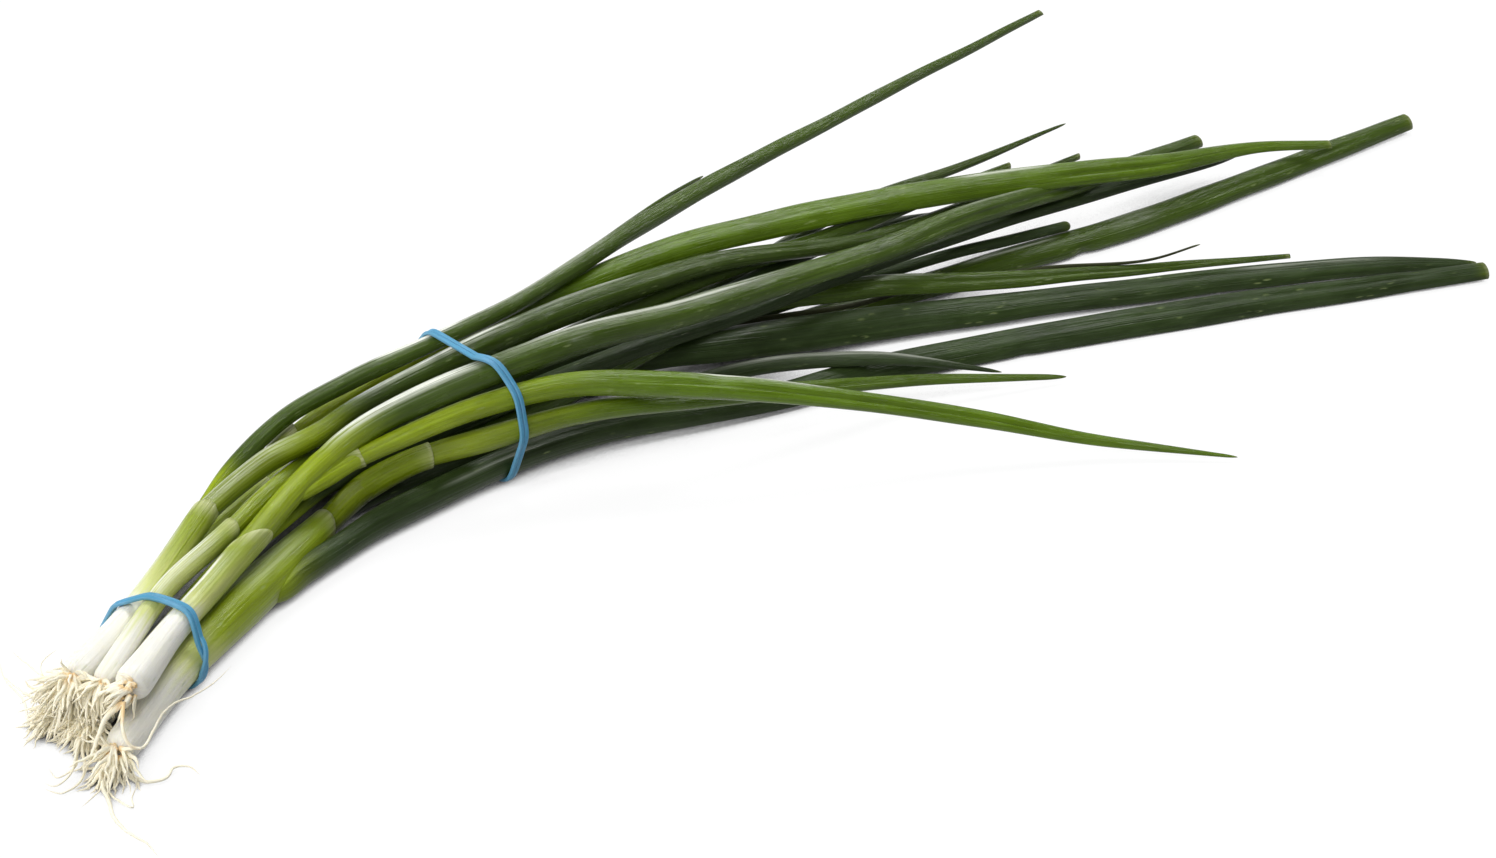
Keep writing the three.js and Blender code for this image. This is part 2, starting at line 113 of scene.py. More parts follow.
# Routes are middle lines with the width there: (x, y, z, width), in mm.
# "green" is how green the stalk is at distances in mm from its root end, and "edge" how pale its
# sheath is at the top. "mouth" is how the sheath is cut there: how much further it reaches on one
# side, in mm, and which side that is, in degrees.
STALKS = {
    "onion_1": dict(
        route=[(-268.5, -74, 18, 10), (-240.5, -49, 16.5, 7.8), (-209.5, -20, 20.5, 8)],
        green=[(0, 0), (34, 0), (40, 0.17), (56, 0.33), (80, 0.5)],
        edge=0.8, mouth=(2.2, 60)),
    "onion_2": dict(
        route=[(-261.5, -80, 18.5, 6.6), (-231, -49, 20, 6.2), (-204.8, -30, 19.1, 6.8)],
        green=[(0, 0), (14, 0.02), (26, 0.14), (33, 0.3), (50, 0.3), (76, 0.5)],
        edge=0.75, mouth=(1.6, 120)),
    "onion_3": dict(
        route=[(-255.5, -87.5, 20, 10.9), (-234.5, -65, 17.5, 8.4), (-203, -40.1, 19.7, 8.4)],
        green=[(0, 0), (28, 0), (36, 0.14), (46, 0.34), (72, 0.5)],
        edge=0.6, mouth=(7.5, 20)),
    "onion_4": dict(
        route=[(-263, -95.3, 5.6, 10), (-236, -71, 7.4, 11), (-208, -49.4, 7.1, 14),
               (-174.5, -25.5, 6.8, 9.6)],
        green=[(0, 0), (16, 0.03), (30, 0.14), (41, 0.28), (54, 0.46), (80, 0.54), (113, 0.64)],
        edge=0.45, mouth=(2.5, 120)),
    "onion_5": dict(
        route=[(-265.5, -79, 5.4, 9.9), (-237.5, -56, 6, 8.4), (-211.5, -33, 5.8, 8),
               (-181, -10.5, 5.6, 7.5)],
        green=[(0, 0), (14, 0), (40, 0.25), (60, 0.5)],
        edge=0.4, mouth=(1.5, 90)),
    "onion_6": dict(
        route=[(-271.5, -70, 5.4, 10), (-239.5, -41, 6, 8.6), (-206.5, -12, 6, 8),
               (-184, 3.5, 5.6, 7.6)],
        green=[(0, 0), (20, 0), (44, 0.25), (64, 0.5)],
        edge=0.4, mouth=(1.5, 90)),
}

# The first point of a leaf is hidden in the sheath that it grows from.
# "flat" is thickness over width where a leaf lies free, "tone" its green and how light that is,
# "green" where along X it turns from yellow-green to its own green, and "tip" how it ends.
LEAVES = {
    "onion_1_sheath_leaf": dict(
        flat=0.7, tone=("mid", 0.8), green=(-178, -140), tip="cut",
        route=[(-219.5, -29, 19, 6.2), (-209, -20, 20.7, 6.8), (-185, -6.2, 22, 7.4),
               (-167, -4, 25, 6.9), (-150, 0.8, 28, 6.3), (-90, 9.6, 33.4, 9),
               (-20.5, 21.8, 29.3, 7.8), (49.5, 25.8, 18.9, 5), (137.5, 40.5, 18, 2.4)]),
    "onion_1_top_leaf": dict(
        flat=0.7, tone=("mid", 1.05), green=(-206, -188), tip="cut",
        route=[(-216.5, -24.5, 19.8, 2.4), (-207, -14.5, 21, 3), (-195.5, -6, 23, 5.3),
               (-172.5, 6, 28, 5.6), (-150.5, 9, 32, 5.8), (-90, 18, 37.5, 5.6), (-20, 52, 34, 6.8),
               (60, 82.5, 31.5, 5.4), (167.5, 117.5, 31, 2.7)]),
    "onion_1_broad_leaf": dict(
        flat=0.5, tone=("bright", 0.95), green=(-165, -60), tip="cut",
        route=[(-190, -8.5, 21.3, 2.8), (-178, 2.2, 20, 3.8), (-150, 13.5, 23, 5.6),
               (-90.5, 22, 30, 7.3), (-20.5, 35.5, 29, 10), (80, 31.6, 25, 10.1),
               (157.5, 22.7, 18.5, 8.7), (205, 25.9, 11, 4.6), (231.5, 18.8, 9, 3.2)]),
    "onion_2_main_leaf": dict(
        flat=0.7, tone=("mid", 0.95), green=(-200, -150), tip="cut",
        route=[(-214, -37, 19.3, 4.8), (-204.3, -29.6, 19.1, 5.6), (-178, -9, 17, 6),
               (-150, 4, 17, 6.2), (-90.5, 9.5, 22.5, 6.3), (-20, 23.7, 23.3, 7.2),
               (29.5, 29.8, 21.2, 6.2), (108.5, 40.5, 22, 2.8)]),
    "onion_2_dark_leaf": dict(
        flat=0.65, tone=("dark", 0.9), green=(-200, -170), tip="blunt",
        route=[(-213, -37.5, 18.6, 2.6), (-203.6, -31.6, 17.2, 3), (-172, -15, 17.5, 4.4),
               (-150, -4.5, 17, 5), (-90.5, 9, 14.5, 5.8), (-20.5, 18.5, 17, 5.8),
               (45.5, 34, 16.5, 5.4), (89.5, 31.5, 14, 3.5), (117.5, 32.5, 13.5, 1.6)]),
    "onion_2_thin_leaf": dict(
        flat=0.7, tone=("mid", 0.8), green=(-200, -160), tip="point",
        route=[(-213, -35.5, 18.2, 2.4), (-203.6, -28, 16.4, 2.8), (-150, -1, 12.6, 3.8),
               (-90.5, 16, 14, 4.5), (-20.5, 25, 16, 4.6), (44, 41.5, 22, 4.6),
               (89.5, 43.5, 25, 3.4), (135, 46.5, 29, 0.9)]),
    "onion_3_front_leaf": dict(
        flat=0.6, tone=("mid", 1.0), green=(-174, -135), tip="cut",
        route=[(-213, -48, 19.3, 7), (-202, -39.2, 19.8, 7.6), (-175.5, -20.5, 23.5, 7.6),
               (-150, -13.7, 31, 8.5), (-90.5, -11.8, 38, 9.6), (-34.5, -4.3, 32.5, 9.3),
               (29.5, 4.5, 28, 8.8), (79.5, 14.5, 25, 8.6), (135.2, 29.7, 14.6, 7.4),
               (187.5, 39, 11.5, 5.2)]),
    "onion_3_drooping_leaf": dict(
        flat=0.75, tone=("bright", 1.05), green=(-165, -40), tip="point",
        route=[(-182, -26.5, 21.5, 4), (-172, -21.9, 21.5, 5.6), (-160, -20, 24, 5.5),
               (-150, -19.8, 26, 6.1), (-120, -18.9, 29.5, 7.2), (-90.5, -23.2, 31.5, 7.6),
               (-60.5, -35, 29.5, 8.6), (-20.5, -52, 23.5, 7), (29.5, -75, 12.5, 5.8),
               (63.5, -94, 5, 3.8), (100.5, -117, 1.2, 0.9)]),
    "onion_3_under_leaf": dict(
        flat=0.6, tone=("dark", 1.0), green=(-198, -165), tip="point",
        route=[(-212, -46.5, 18.8, 2.8), (-202, -38.6, 16.6, 3.6), (-172, -18.5, 14.5, 4.2),
               (-150, -8, 12, 4.6), (-90.5, -5, 20.5, 6.2), (-60.5, -4.5, 23.5, 6.4),
               (-20.5, 1, 21.5, 6.5), (29.5, 9.5, 20, 6.6), (88, 19.5, 16, 7.2),
               (140, 27.2, 11, 7.2), (200, 31.5, 6, 2.7)]),
    "onion_4_inner_leaf": dict(
        flat=0.6, tone=("bright", 0.8), green=(-138, -50), tip="point",
        route=[(-184.5, -31.5, 7.2, 6.8), (-173.5, -24.5, 6.8, 7.9), (-158, -15.9, 9, 8.6),
               (-141, -16.3, 14, 7.2), (-120.5, -21.6, 18.5, 7.5), (-90.5, -26.2, 22, 6.8),
               (-51, -34, 20, 6.1), (23.5, -41, 8, 4.3), (75, -54.5, 1.6, 1.8)]),
    "onion_4_bottom_leaf": dict(
        flat=0.42, tone=("dark", 1.05), green=(-212, -172), tip="cut",
        route=[(-206, -46.5, 6.6, 3.4), (-198, -48.2, 5.6, 6.1), (-187, -42, 5.8, 7.9),
               (-172, -35.8, 5.9, 8.4), (-154, -29.2, 6, 9.2), (-90.5, -17.9, 6.4, 8.7),
               (-21, -24.5, 4.4, 9.2), (25.5, -26, 3.8, 10), (122, -42, 3.4, 10.6),
               (236.5, -67, 2.8, 6.5)]),
    "onion_4_grey_leaf": dict(
        flat=0.6, tone=("dark", 0.95), green=(-178, -160), tip="point",
        route=[(-184, -30, 6, 2.6), (-173, -21.5, 3.6, 3.2), (-150, -15, 4, 4.4),
               (-90.5, -9.5, 4.6, 5.4), (-20, -9.5, 7, 5.8), (13.5, -24, 9.2, 5.4),
               (33, -34.5, 8.6, 3.6), (55.5, -45.5, 4, 0.9)]),
    "onion_5_wide_leaf": dict(
        flat=0.4, tone=("dark", 1.15), green=(-182, -165), tip="point",
        route=[(-190.5, -17.5, 5.7, 6), (-180, -9.5, 5.6, 6.5), (-150, 0, 6, 8), (-90.5, 2, 7, 8.7),
               (-60, 5.5, 12, 9.8), (-20.5, 2.5, 9.5, 12.2), (29, -4, 6, 12.2),
               (86.5, -16.3, 4.5, 10.2), (193.5, -44.4, 3.4, 7.8), (236.5, -62, 3.2, 2.5)]),
    "onion_5_narrow_leaf": dict(
        flat=0.5, tone=("mid", 1.05), green=(-180, -140), tip="cut",
        route=[(-191, -18.5, 6.8, 3), (-181, -11.5, 8, 3.6), (-150, -7, 7.5, 4),
               (-90.5, -7, 13.5, 5.6), (-60.5, -1.5, 17, 6.4), (-20.5, 9.4, 17.6, 8.1),
               (29.5, 7.3, 13.7, 8.1), (83.5, -7.5, 10, 6.3), (181, -29.5, 3.4, 1.8)]),
    "onion_5_short_leaf": dict(
        flat=0.75, tone=("dark", 1.1), green=(-180, -150), tip="blunt",
        route=[(-191, -16.5, 5, 2.4), (-181, -7.5, 3.6, 2.8), (-150, 7.5, 3.8, 3.6),
               (-90.5, 9.5, 4, 4), (-60.5, 6, 4, 4.2), (-40.5, 9.9, 7.4, 4.2),
               (-19.6, 13.7, 8.1, 4.3), (45, 16, 10.4, 4.4), (119, 15.5, 8.6, 3.8)]),
    "onion_6_long_leaf": dict(
        flat=0.5, tone=("mid", 1.0), green=(-184, -150), tip="cut",
        route=[(-193, -2.5, 5.8, 6), (-183, 4.5, 5.6, 6.6), (-158, 15.5, 5.6, 6.6),
               (-130, 20.5, 5.8, 7.2), (-90.5, 18.5, 6, 8), (-20.5, 11, 4, 8.8),
               (29.5, 10.5, 3.8, 9), (80, 11.5, 3.8, 9.8), (143, 12, 3.6, 10.2),
               (216.5, 19.8, 3.4, 8.8), (272.5, 26.5, 3.4, 6.9)]),
    "onion_6_back_leaf": dict(
        flat=0.8, tone=("mid", 0.9), green=(-184, -165), tip="point",
        route=[(-192, -1.5, 6.8, 1.8), (-183, 5.5, 8, 2), (-150, 16.5, 11, 2.2),
               (-120, 23.5, 17, 2.3), (-90.5, 29.5, 24, 2.3), (-60.5, 40.5, 30, 2.3),
               (-20.5, 58, 33, 1.9), (1.5, 66.5, 33.5, 1.3)]),
    "onion_6_dry_leaf": dict(
        flat=0.9, tone=("dry", 1.0), green=(-184, -165), tip="point",
        route=[(-193, -4, 6.6, 1.6), (-184, 1.5, 7.5, 1.8), (-150, 9.5, 9, 2), (-90.5, 14, 9.5, 2),
               (-20.5, 11.5, 10.8, 1.9), (29.5, 7.5, 7.2, 1.7), (59.5, 6, 7.4, 1.6),
               (96.5, -6, 9.8, 1.4), (130.5, -17, 9.5, 1), (149.5, -20, 12, 0.7)]),
}

# How each tone of leaf takes the light, how much grey bloom lies on it, and its slot.
TONES = {
    "bright": dict(rough=0.26, wax=0.0, shine=0.34, slot="bright_leaf"),
    "mid": dict(rough=0.2, wax=0.04, shine=0.36, slot="mid_leaf"),
    "dark": dict(rough=0.34, wax=0.07, shine=0.22, slot="dark_leaf"),
    "dry": dict(rough=0.6, wax=0.0, shine=0.2, slot="dark_leaf"),
}

# Marks on single stalks and leaves. A fold is (start, end, side, spread, depth), a dent (place,
# length, side, spread, depth) and a pale streak (start, end, side, spread, strength), partly
# silvery skin and partly a painted highlight on the side that faces the softbox. Places are
# along X in mm, sides and spreads in degrees, depths in mm.
DETAILS = {
    "onion_1": dict(streaks=[(-245, -212, 165, 40, 0.8)]),
    "onion_2": dict(streaks=[(-243, -205, 128, 50, 0.95)]),
    "onion_3": dict(streaks=[(-238, -206, 148, 42, 1.2)]),
    "onion_4": dict(streaks=[(-214, -180, 110, 30, 0.2)]),
    "onion_1_sheath_leaf": dict(
        dents=[(-162, 2.2, 80, 60, 0.5)], folds=[(-60, 40, 95, 16, 0.6)],
        streaks=[(-214, -168, 130, 50, 0.5), (-158, -88, 138, 26, 1.5),
                 (-96, -40, 150, 18, 0.6)]),
    "onion_1_top_leaf": dict(
        folds=[(-150, 60, 120, 14, 0.5)],
        streaks=[(-190, -30, 150, 32, 0.5), (-146, -104, 138, 26, 1.4)]),
    "onion_1_broad_leaf": dict(
        folds=[(104, 176, 70, 16, 1.0), (-60, 60, 110, 14, 0.45)],
        streaks=[(78, 122, 140, 16, 0.7), (-92, -64, 150, 18, 0.7)]),
    "onion_2_main_leaf": dict(
        folds=[(-60, 70, 120, 14, 0.5)],
        streaks=[(-78, -50, 140, 22, 0.8), (30, 96, 130, 20, 0.4)]),
    "onion_2_dark_leaf": dict(streaks=[(20, 100, 130, 18, 0.4)]),
    "onion_2_thin_leaf": dict(streaks=[(-40, 50, 140, 25, 0.4)]),
    "onion_3_front_leaf": dict(
        dents=[(-168, 2.5, 120, 50, 0.4)],
        folds=[(-120, 60, 115, 15, 0.5), (40, 150, 60, 14, 0.6)],
        streaks=[(-172, -108, 132, 30, 1.5), (-118, 10, 140, 20, 0.8), (-87, -77, 60, 16, 0.22),
                 (60, 130, 140, 14, 0.35)]),
    "onion_3_drooping_leaf": dict(
        dents=[(-46, 7, 120, 30, 0.9)], folds=[(-80, 60, 75, 16, 0.6)],
        streaks=[(-62, -8, 150, 18, 0.9), (-150, -100, 150, 22, 0.35)]),
    "onion_3_under_leaf": dict(
        folds=[(30, 150, 80, 16, 0.8)], streaks=[(30, 120, 130, 16, 0.5)]),
    "onion_4_inner_leaf": dict(
        folds=[(-80, 30, 80, 15, 0.4)], streaks=[(-130, -60, 150, 20, 0.4)]),
    "onion_4_bottom_leaf": dict(
        dents=[(212, 6, 150, 40, 1.0), (70, 3, 20, 40, 0.7)],
        folds=[(-160, -60, 95, 16, 0.5), (40, 225, 110, 13, 0.7)],
        streaks=[(-140, -95, 80, 10, 0.2)]),
    "onion_4_grey_leaf": dict(streaks=[(-40, 50, 130, 20, 0.5)]),
    "onion_5_wide_leaf": dict(
        folds=[(-60, 60, 60, 12, 0.5), (60, 210, 115, 13, 0.9)],
        streaks=[(150, 215, 130, 12, 0.3)]),
    "onion_5_narrow_leaf": dict(
        folds=[(20, 160, 85, 16, 0.6)], streaks=[(20, 60, 140, 20, 0.4)]),
    "onion_6_long_leaf": dict(
        dents=[(120, 3, 5, 35, 1.4)], folds=[(60, 138, 120, 18, 0.8), (160, 255, 80, 14, 0.6)],
        streaks=[(72, 116, 140, 16, 0.6), (130, 156, 110, 40, 0.14)]),
}

# A collar is the open end of a sheath round a younger leaf. It belongs to a CAD node, follows
# either a leaf from "start" to "end" along X or a route of its own, and stands "proud" of that
# by so many mm. "mouth" is as for a stalk.
COLLARS = {
    "onion_1_second_collar": dict(
        node="onion_1_sheath_leaf", leaf="onion_1_broad_leaf", start=-194, end=-170.5,
        growth=0.35, edge=1.3, mouth=(1.5, 200), proud=1.1),
    "onion_3_second_collar": dict(
        node="onion_3_front_leaf", growth=0.62, edge=0.4, mouth=(1.0, 20), proud=0.0,
        route=[(-187, -25.2, 21.2, 6.2), (-178, -20.9, 22, 8.4), (-171.6, -18.5, 22.4, 9.5),
               (-166, -17.8, 22.9, 9.0), (-162, -18.4, 23.4, 7.5), (-158.4, -19.7, 24.2, 6.5)]),
    "onion_4_second_collar": dict(
        node="onion_4_inner_leaf", leaf="onion_4_inner_leaf", start=-176, end=-134, growth=0.6,
        edge=0.3, mouth=(1.2, 90), proud=0.55),
}

# The short roots of each onion: how many, the longest in mm, how far they sink before their
# tips, in mm, and the way that they lean.
TUFTS = {
    "onion_1": (90, 12, 4, (-0.7, 0.0, -0.3)),
    "onion_2": (64, 10, 4, (-0.6, -0.3, -0.5)),
    "onion_3": (30, 8, 3, (-1.5, 0.6, -0.6)),
    "onion_4": (60, 14, 4, (-0.5, -0.6, -0.2)),
    "onion_5": (110, 12, 4, (-0.5, -0.4, 0.2)),
    "onion_6": (110, 12, 4, (-0.6, 0.1, 0.2)),
}

# Long roots: the onion, the root's thickness at its start, and its route.
LONG_ROOTS = [
    ("onion_1", 1.0, [(-273, -77, 17), (-276.5, -74, 14.5), (-279, -67, 11.5), (-281.5, -59, 10),
                      (-283, -52.5, 10)]),
    ("onion_1", 0.8, [(-272, -75, 17), (-272, -68, 14), (-273.5, -61, 12), (-276, -52.5, 11.5),
                      (-278, -45, 11)]),
    ("onion_1", 0.6, [(-273.3, -62, 12.2), (-273, -58, 12), (-271, -54.5, 12), (-266, -51.5, 12)]),
    ("onion_3", 1.1, [(-258, -91, 19), (-261, -98, 16), (-260.5, -102, 12.5), (-257, -102, 10.5),
                      (-253, -97, 9.5), (-248, -90, 9), (-243, -86, 8.5), (-237, -84.5, 8),
                      (-230, -82, 8), (-226, -79.5, 8), (-222.5, -77, 8)]),
    ("onion_3", 1.9, [(-258, -90, 18), (-263.5, -90.5, 15), (-266.5, -92, 11), (-270.5, -95, 6.5),
                      (-273, -96.5, 2.5)]),
    ("onion_4", 1.6, [(-262, -94.5, 4.5), (-267, -97, 3), (-270, -103, 1.8), (-270, -108, 1),
                      (-271, -115, 1), (-270, -121, 1), (-268, -126, 1), (-266, -130, 1),
                      (-265, -136, 0.9)]),
    ("onion_4", 1.4, [(-261.5, -94, 5), (-264, -97, 3), (-261, -102, 1.2), (-258, -106, 1.1),
                      (-253, -107, 1.4), (-250, -104, 1.2), (-247, -104, 1), (-245, -106, 1),
                      (-244, -110, 0.9)]),
    ("onion_4", 1.0, [(-262, -94, 5), (-268, -99, 3), (-269, -104, 1.2), (-268, -109, 1),
                      (-265, -114, 1), (-264, -110, 1), (-260, -105, 1)]),
    ("onion_4", 0.8, [(-262, -94, 4), (-268, -98, 3), (-271, -103, 1.2), (-278, -107.5, 1)]),
    ("onion_5", 1.2, [(-267, -80.5, 5), (-272, -88, 6), (-276, -94.5, 3.5), (-281.5, -97.5, 2.5),
                      (-284, -94.5, 2)]),
    ("onion_5", 1.2, [(-267, -80.5, 5), (-271, -88, 5), (-272, -92.5, 2), (-275, -97.5, 1.2),
                      (-281, -99.5, 1), (-284.5, -95.5, 1)]),
    ("onion_5", 1.0, [(-267, -80.5, 5), (-272, -87, 5.5), (-274.5, -93, 3.6), (-280.5, -95, 3),
                      (-281.5, -90.5, 3)]),
    ("onion_6", 1.0, [(-273, -71.5, 5), (-277.5, -72, 4), (-282, -69.5, 3.5)]),
    ("onion_6", 1.0, [(-273, -71.5, 5), (-280, -67, 2), (-279, -56, 1), (-281, -44, 1),
                      (-280, -36, 1)]),
]

# Each band lies on an upright sheet that passes through "at" and looks "heading" degrees from
# +X in plan. Over the top of the bunch the sheet bows forwards, by "bow" where the distance
# across is "bow_at", and it is upright again "bow_reach" to each side of that.
# "crossing" is the place round the loop where the two turns change places, from 0 to 1.
BANDS = {
    "root_band": dict(
        held="stalks", at=(-237.9, -65.7), heading=28, bow=10, bow_at=-9.8, bow_reach=27.6,
        bow_height=25, crossing=0.95),
    "leaf_band": dict(
        held="leaves", at=(-113, -20.4), heading=13, bow=10, bow_at=-14.7, bow_reach=25.5,
        bow_height=65, crossing=0.52),
}

# The lamps: the way to each, as (right, away, up) from the camera's side, its distance and its
# size, in metres. The camera's place and what it looks at are in mm.
LAMPS = {
    "softbox": ((0.05, 0.63, 0.77), 1.4, (0.95, 0.36)),
    "side": ((-0.93, -0.3, 0.3), 1.4, (0.9, 0.6)),
    "fill": ((-0.45, -0.5, 0.85), 1.8, (1.8, 1.8)),
}
RIGHT = np.array([0.891, -0.454, 0.0])  # of the camera, in plan
AWAY = np.array([0.454, 0.891, 0.0])
CAMERA_PLACE = (-403.7, -768.3, 608.54)
CAMERA_AIM = (-23.6, -22.2, 0.14)
LENS = 77  # mm
FLOOR_REACH = 4  # metres to each side
FLOOR_GLOW = 0.87  # of the floor where nothing stands near
SHADE_REACH = 40 * MM  # how far from the bunch the floor is darker: a painted shade that lowers its glow
SHADE_RANGE = (0.17, 0.37)  # how open the floor is where it has no glow, and its full glow


def srgb(red, green, blue):
    """A colour as it is seen, from 0 to 255, as the linear colour that Blender keeps."""
    shares = np.array([red, green, blue]) / 255
    linear = np.where(shares <= 0.04045, shares / 12.92, ((shares + 0.055) / 1.055) ** 2.4)
    return tuple(float(value) for value in linear)


# The second colour here is that of the pale streaks: partly silvery skin, partly a painted
# highlight.
FLECK, SILVER_AND_HIGHLIGHT = srgb(160, 176, 112), srgb(236, 238, 226)
SHEATH_EDGE, LEAF_LINING = srgb(212, 214, 164), srgb(128, 152, 72)
WAX_BLOOM, DRY_LEAF, STALK_TOP = srgb(104, 120, 88), srgb(58, 62, 34), srgb(104, 138, 36)
ROOT_SPOT, ROOT_TIP = srgb(226, 202, 154), srgb(244, 232, 204)
BAND_CLOUD, BAND_GRAIN, BAND_EDGE = srgb(92, 156, 200), srgb(38, 98, 150), srgb(140, 188, 216)


# ------------------------------------------------------------------ what a user can change
class BunchSizes(PropertyGroup):
    """Sizes of the parts that repeat."""
    wall: FloatProperty(
        name="Leaf wall", description="Thickness of a leaf's wall where it is cut open",
        default=0.4 * MM, min=0.1 * MM, max=1 * MM, unit="LENGTH", precision=5)
    root_share: FloatProperty(
        name="Roots", description="How many of the short roots are made",
        default=1.0, min=0.05, max=2)
    root_width: FloatProperty(
        name="Root width", description="Thickness of a short root where it leaves the onion",
        default=1.5 * MM, min=0.2 * MM, max=3 * MM, unit="LENGTH", precision=5)
    strand_width: FloatProperty(
        name="Band width", description="Width of a rubber band's strand",
        default=1.45 * MM, min=0.5 * MM, max=4 * MM, unit="LENGTH", precision=5)
    strand_thickness: FloatProperty(
        name="Band thickness", description="Thickness of a rubber band's strand",
        default=1.2 * MM, min=0.5 * MM, max=3 * MM, unit="LENGTH", precision=5)


class BunchColours(PropertyGroup):
    """Colours of the skin, roots and bands."""
    white: FloatVectorProperty(
        name="White stalk", description="Stalk above the roots",
        default=srgb(242, 240, 230), subtype="COLOR")
    pale: FloatVectorProperty(
        name="Pale stalk", description="Stalk where the white turns green",
        default=srgb(204, 210, 128), subtype="COLOR")
    young: FloatVectorProperty(
        name="Young green", description="Sheaths and the feet of the leaves",
        default=srgb(138, 156, 12), subtype="COLOR")
    bright: FloatVectorProperty(
        name="Bright green", description="The lightest leaves",
        default=srgb(86, 113, 4), subtype="COLOR")
    mid: FloatVectorProperty(
        name="Middle green", description="Most leaves",
        default=srgb(63, 84, 10), subtype="COLOR")
    dark: FloatVectorProperty(
        name="Dark green", description="The old leaves underneath",
        default=srgb(42, 57, 22), subtype="COLOR")
    root: FloatVectorProperty(
        name="Roots", description="Roots away from the onion",
        default=srgb(254, 247, 224), subtype="COLOR")
    root_plate: FloatVectorProperty(
        name="Root plate", description="Where the roots leave the onion",
        default=srgb(242, 210, 158), subtype="COLOR")
    band: FloatVectorProperty(
        name="Rubber bands", description="Rubber of both bands",
        default=srgb(58, 142, 178), subtype="COLOR")


class BunchLight(PropertyGroup):
    """Strength of the studio light."""
    softbox: FloatProperty(
        name="Softbox", description="Power of the large lamp above and behind",
        default=13.5, min=0, subtype="POWER", unit="POWER")
    fill: FloatProperty(
        name="Fill", description="Power of the lamp beside the camera",
        default=24.0, min=0, subtype="POWER", unit="POWER")
    side: FloatProperty(
        name="Side light", description="Power of the lamp that faces the roots",
        default=4.0, min=0, subtype="POWER", unit="POWER")
    room: FloatProperty(
        name="Room", description="Strength of the light from all round", default=0.26, min=0)


# ------------------------------------------------------------------ lines
def smooth(low, high, value):
    """0 below low, 1 above high, and an easy curve between."""
    share = np.clip((value - low) / (high - low), 0, 1)
    return share * share * (3 - 2 * share)


def through(points, steps=60):
    """A smooth line through the points, with the same number of steps between each two."""
    points = np.asarray(points, float)
    points = np.vstack([2 * points[0] - points[1], points, 2 * points[-1] - points[-2]])
    share = np.linspace(0, 1, steps, endpoint=False)[:, None]
    line = []
    for i in range(1, len(points) - 2):
        before, here, there, after = points[i - 1:i + 3]
        gap_0 = np.linalg.norm(here - before) ** 0.5
        gap_1 = np.linalg.norm(there - here) ** 0.5
        gap_2 = np.linalg.norm(after - there) ** 0.5
        leave = (here - before) / gap_0 - (there - before) / (gap_0 + gap_1)
        leave = (leave + (there - here) / gap_1) * gap_1
        arrive = (there - here) / gap_1 - (after - here) / (gap_1 + gap_2)
        arrive = (arrive + (after - there) / gap_2) * gap_1
        line.append(
            here + share * leave + share ** 2 * (3 * (there - here) - 2 * leave - arrive)
            + share ** 3 * (2 * (here - there) + leave + arrive))
    return np.vstack(line + [points[-2][None]])


def flatness(x, flat):
    """How thick a leaf is for its width, at a place along X."""
    return 1 + (flat - 1) * smooth(FLAT_START, FLAT_START + FLAT_LENGTH, x)


def spread_out(length, first, last):
    """Distances for the rings of a piece, closer together where its ends are rounded."""
    turn = 1 - np.cos(np.linspace(0, math.pi / 2, 9))
    count = max(3, int((length - first - last) / STATION))
    middle = np.linspace(first, length - last, count)
    start = first * turn[:-1] if first else []
    end = length - last * turn[:-1][::-1] if last else []
    return np.concatenate([start, middle, end])


def slow_noise(rng, distance, period):
    """A wandering value round 0, that changes over about the period."""
    waves = []
    for _ in range(3):
        turns = distance * 2 * math.pi / (period * rng.uniform(0.6, 1.6))
        waves.append(np.sin(turns + rng.uniform(0, 6.3)))
    return sum(waves) / 2


class Line:
    """The middle line of a stalk or leaf, and its frame, width and thickness at each ring."""

    def __init__(self, route, flat=1.0, first=0.0, last=0.0, wander=0.0, rng=None):
        route = np.array(route, float)
        spots = through(route[:, :3])
        thick = route[:, 3] * flatness(route[:, 0], flat)
        sizes = through(np.column_stack([route[:, 3], thick, route[:, 0]]))
        walked = np.linalg.norm(np.diff(spots, axis=0), axis=1)
        walked = np.concatenate([[0], np.cumsum(walked)])
        self.length = walked[-1]
        self.distance = spread_out(self.length, first, last)
        keep = [np.interp(self.distance, walked, spots[:, i]) for i in range(3)]
        self.centre = np.column_stack(keep)
        self.width = np.interp(self.distance, walked, sizes[:, 0])
        self.thick = np.interp(self.distance, walked, sizes[:, 1])
        self.set_frame()
        if wander:
            ease = smooth(0, 30, self.distance) * smooth(0, 20, self.length - self.distance)
            for side in (self.across, self.up):
                drift = wander * ease * slow_noise(rng, self.distance, 55)
                self.centre = self.centre + side * drift[:, None]
            self.set_frame()

    def set_frame(self):
        """Sets the ways along and across the line, and up from the leaf's face."""
        along = np.gradient(self.centre, self.distance, axis=0)
        self.along = along / np.linalg.norm(along, axis=1)[:, None]
        across = np.cross(self.along, LEAF_FACE)
        self.across = across / np.linalg.norm(across, axis=1)[:, None]
        self.up = np.cross(self.across, self.along)

    def turn(self, degrees):
        """Turns the frame about the line by an angle at each ring."""
        angle = np.radians(degrees)[:, None]
        across = self.across * np.cos(angle) + self.up * np.sin(angle)
        self.up = self.up * np.cos(angle) - self.across * np.sin(angle)
        self.across = across

    def at(self, x):
        """Distance along the line where it passes x."""
        return float(np.interp(x, self.centre[:, 0], self.distance))


ANGLES = np.linspace(0, 2 * math.pi, AROUND, endpoint=False)


def turn_between(angle, other):
    """The angle from one direction to another, from -180 to 180 degrees."""
    return (angle - other + 180) % 360 - 180


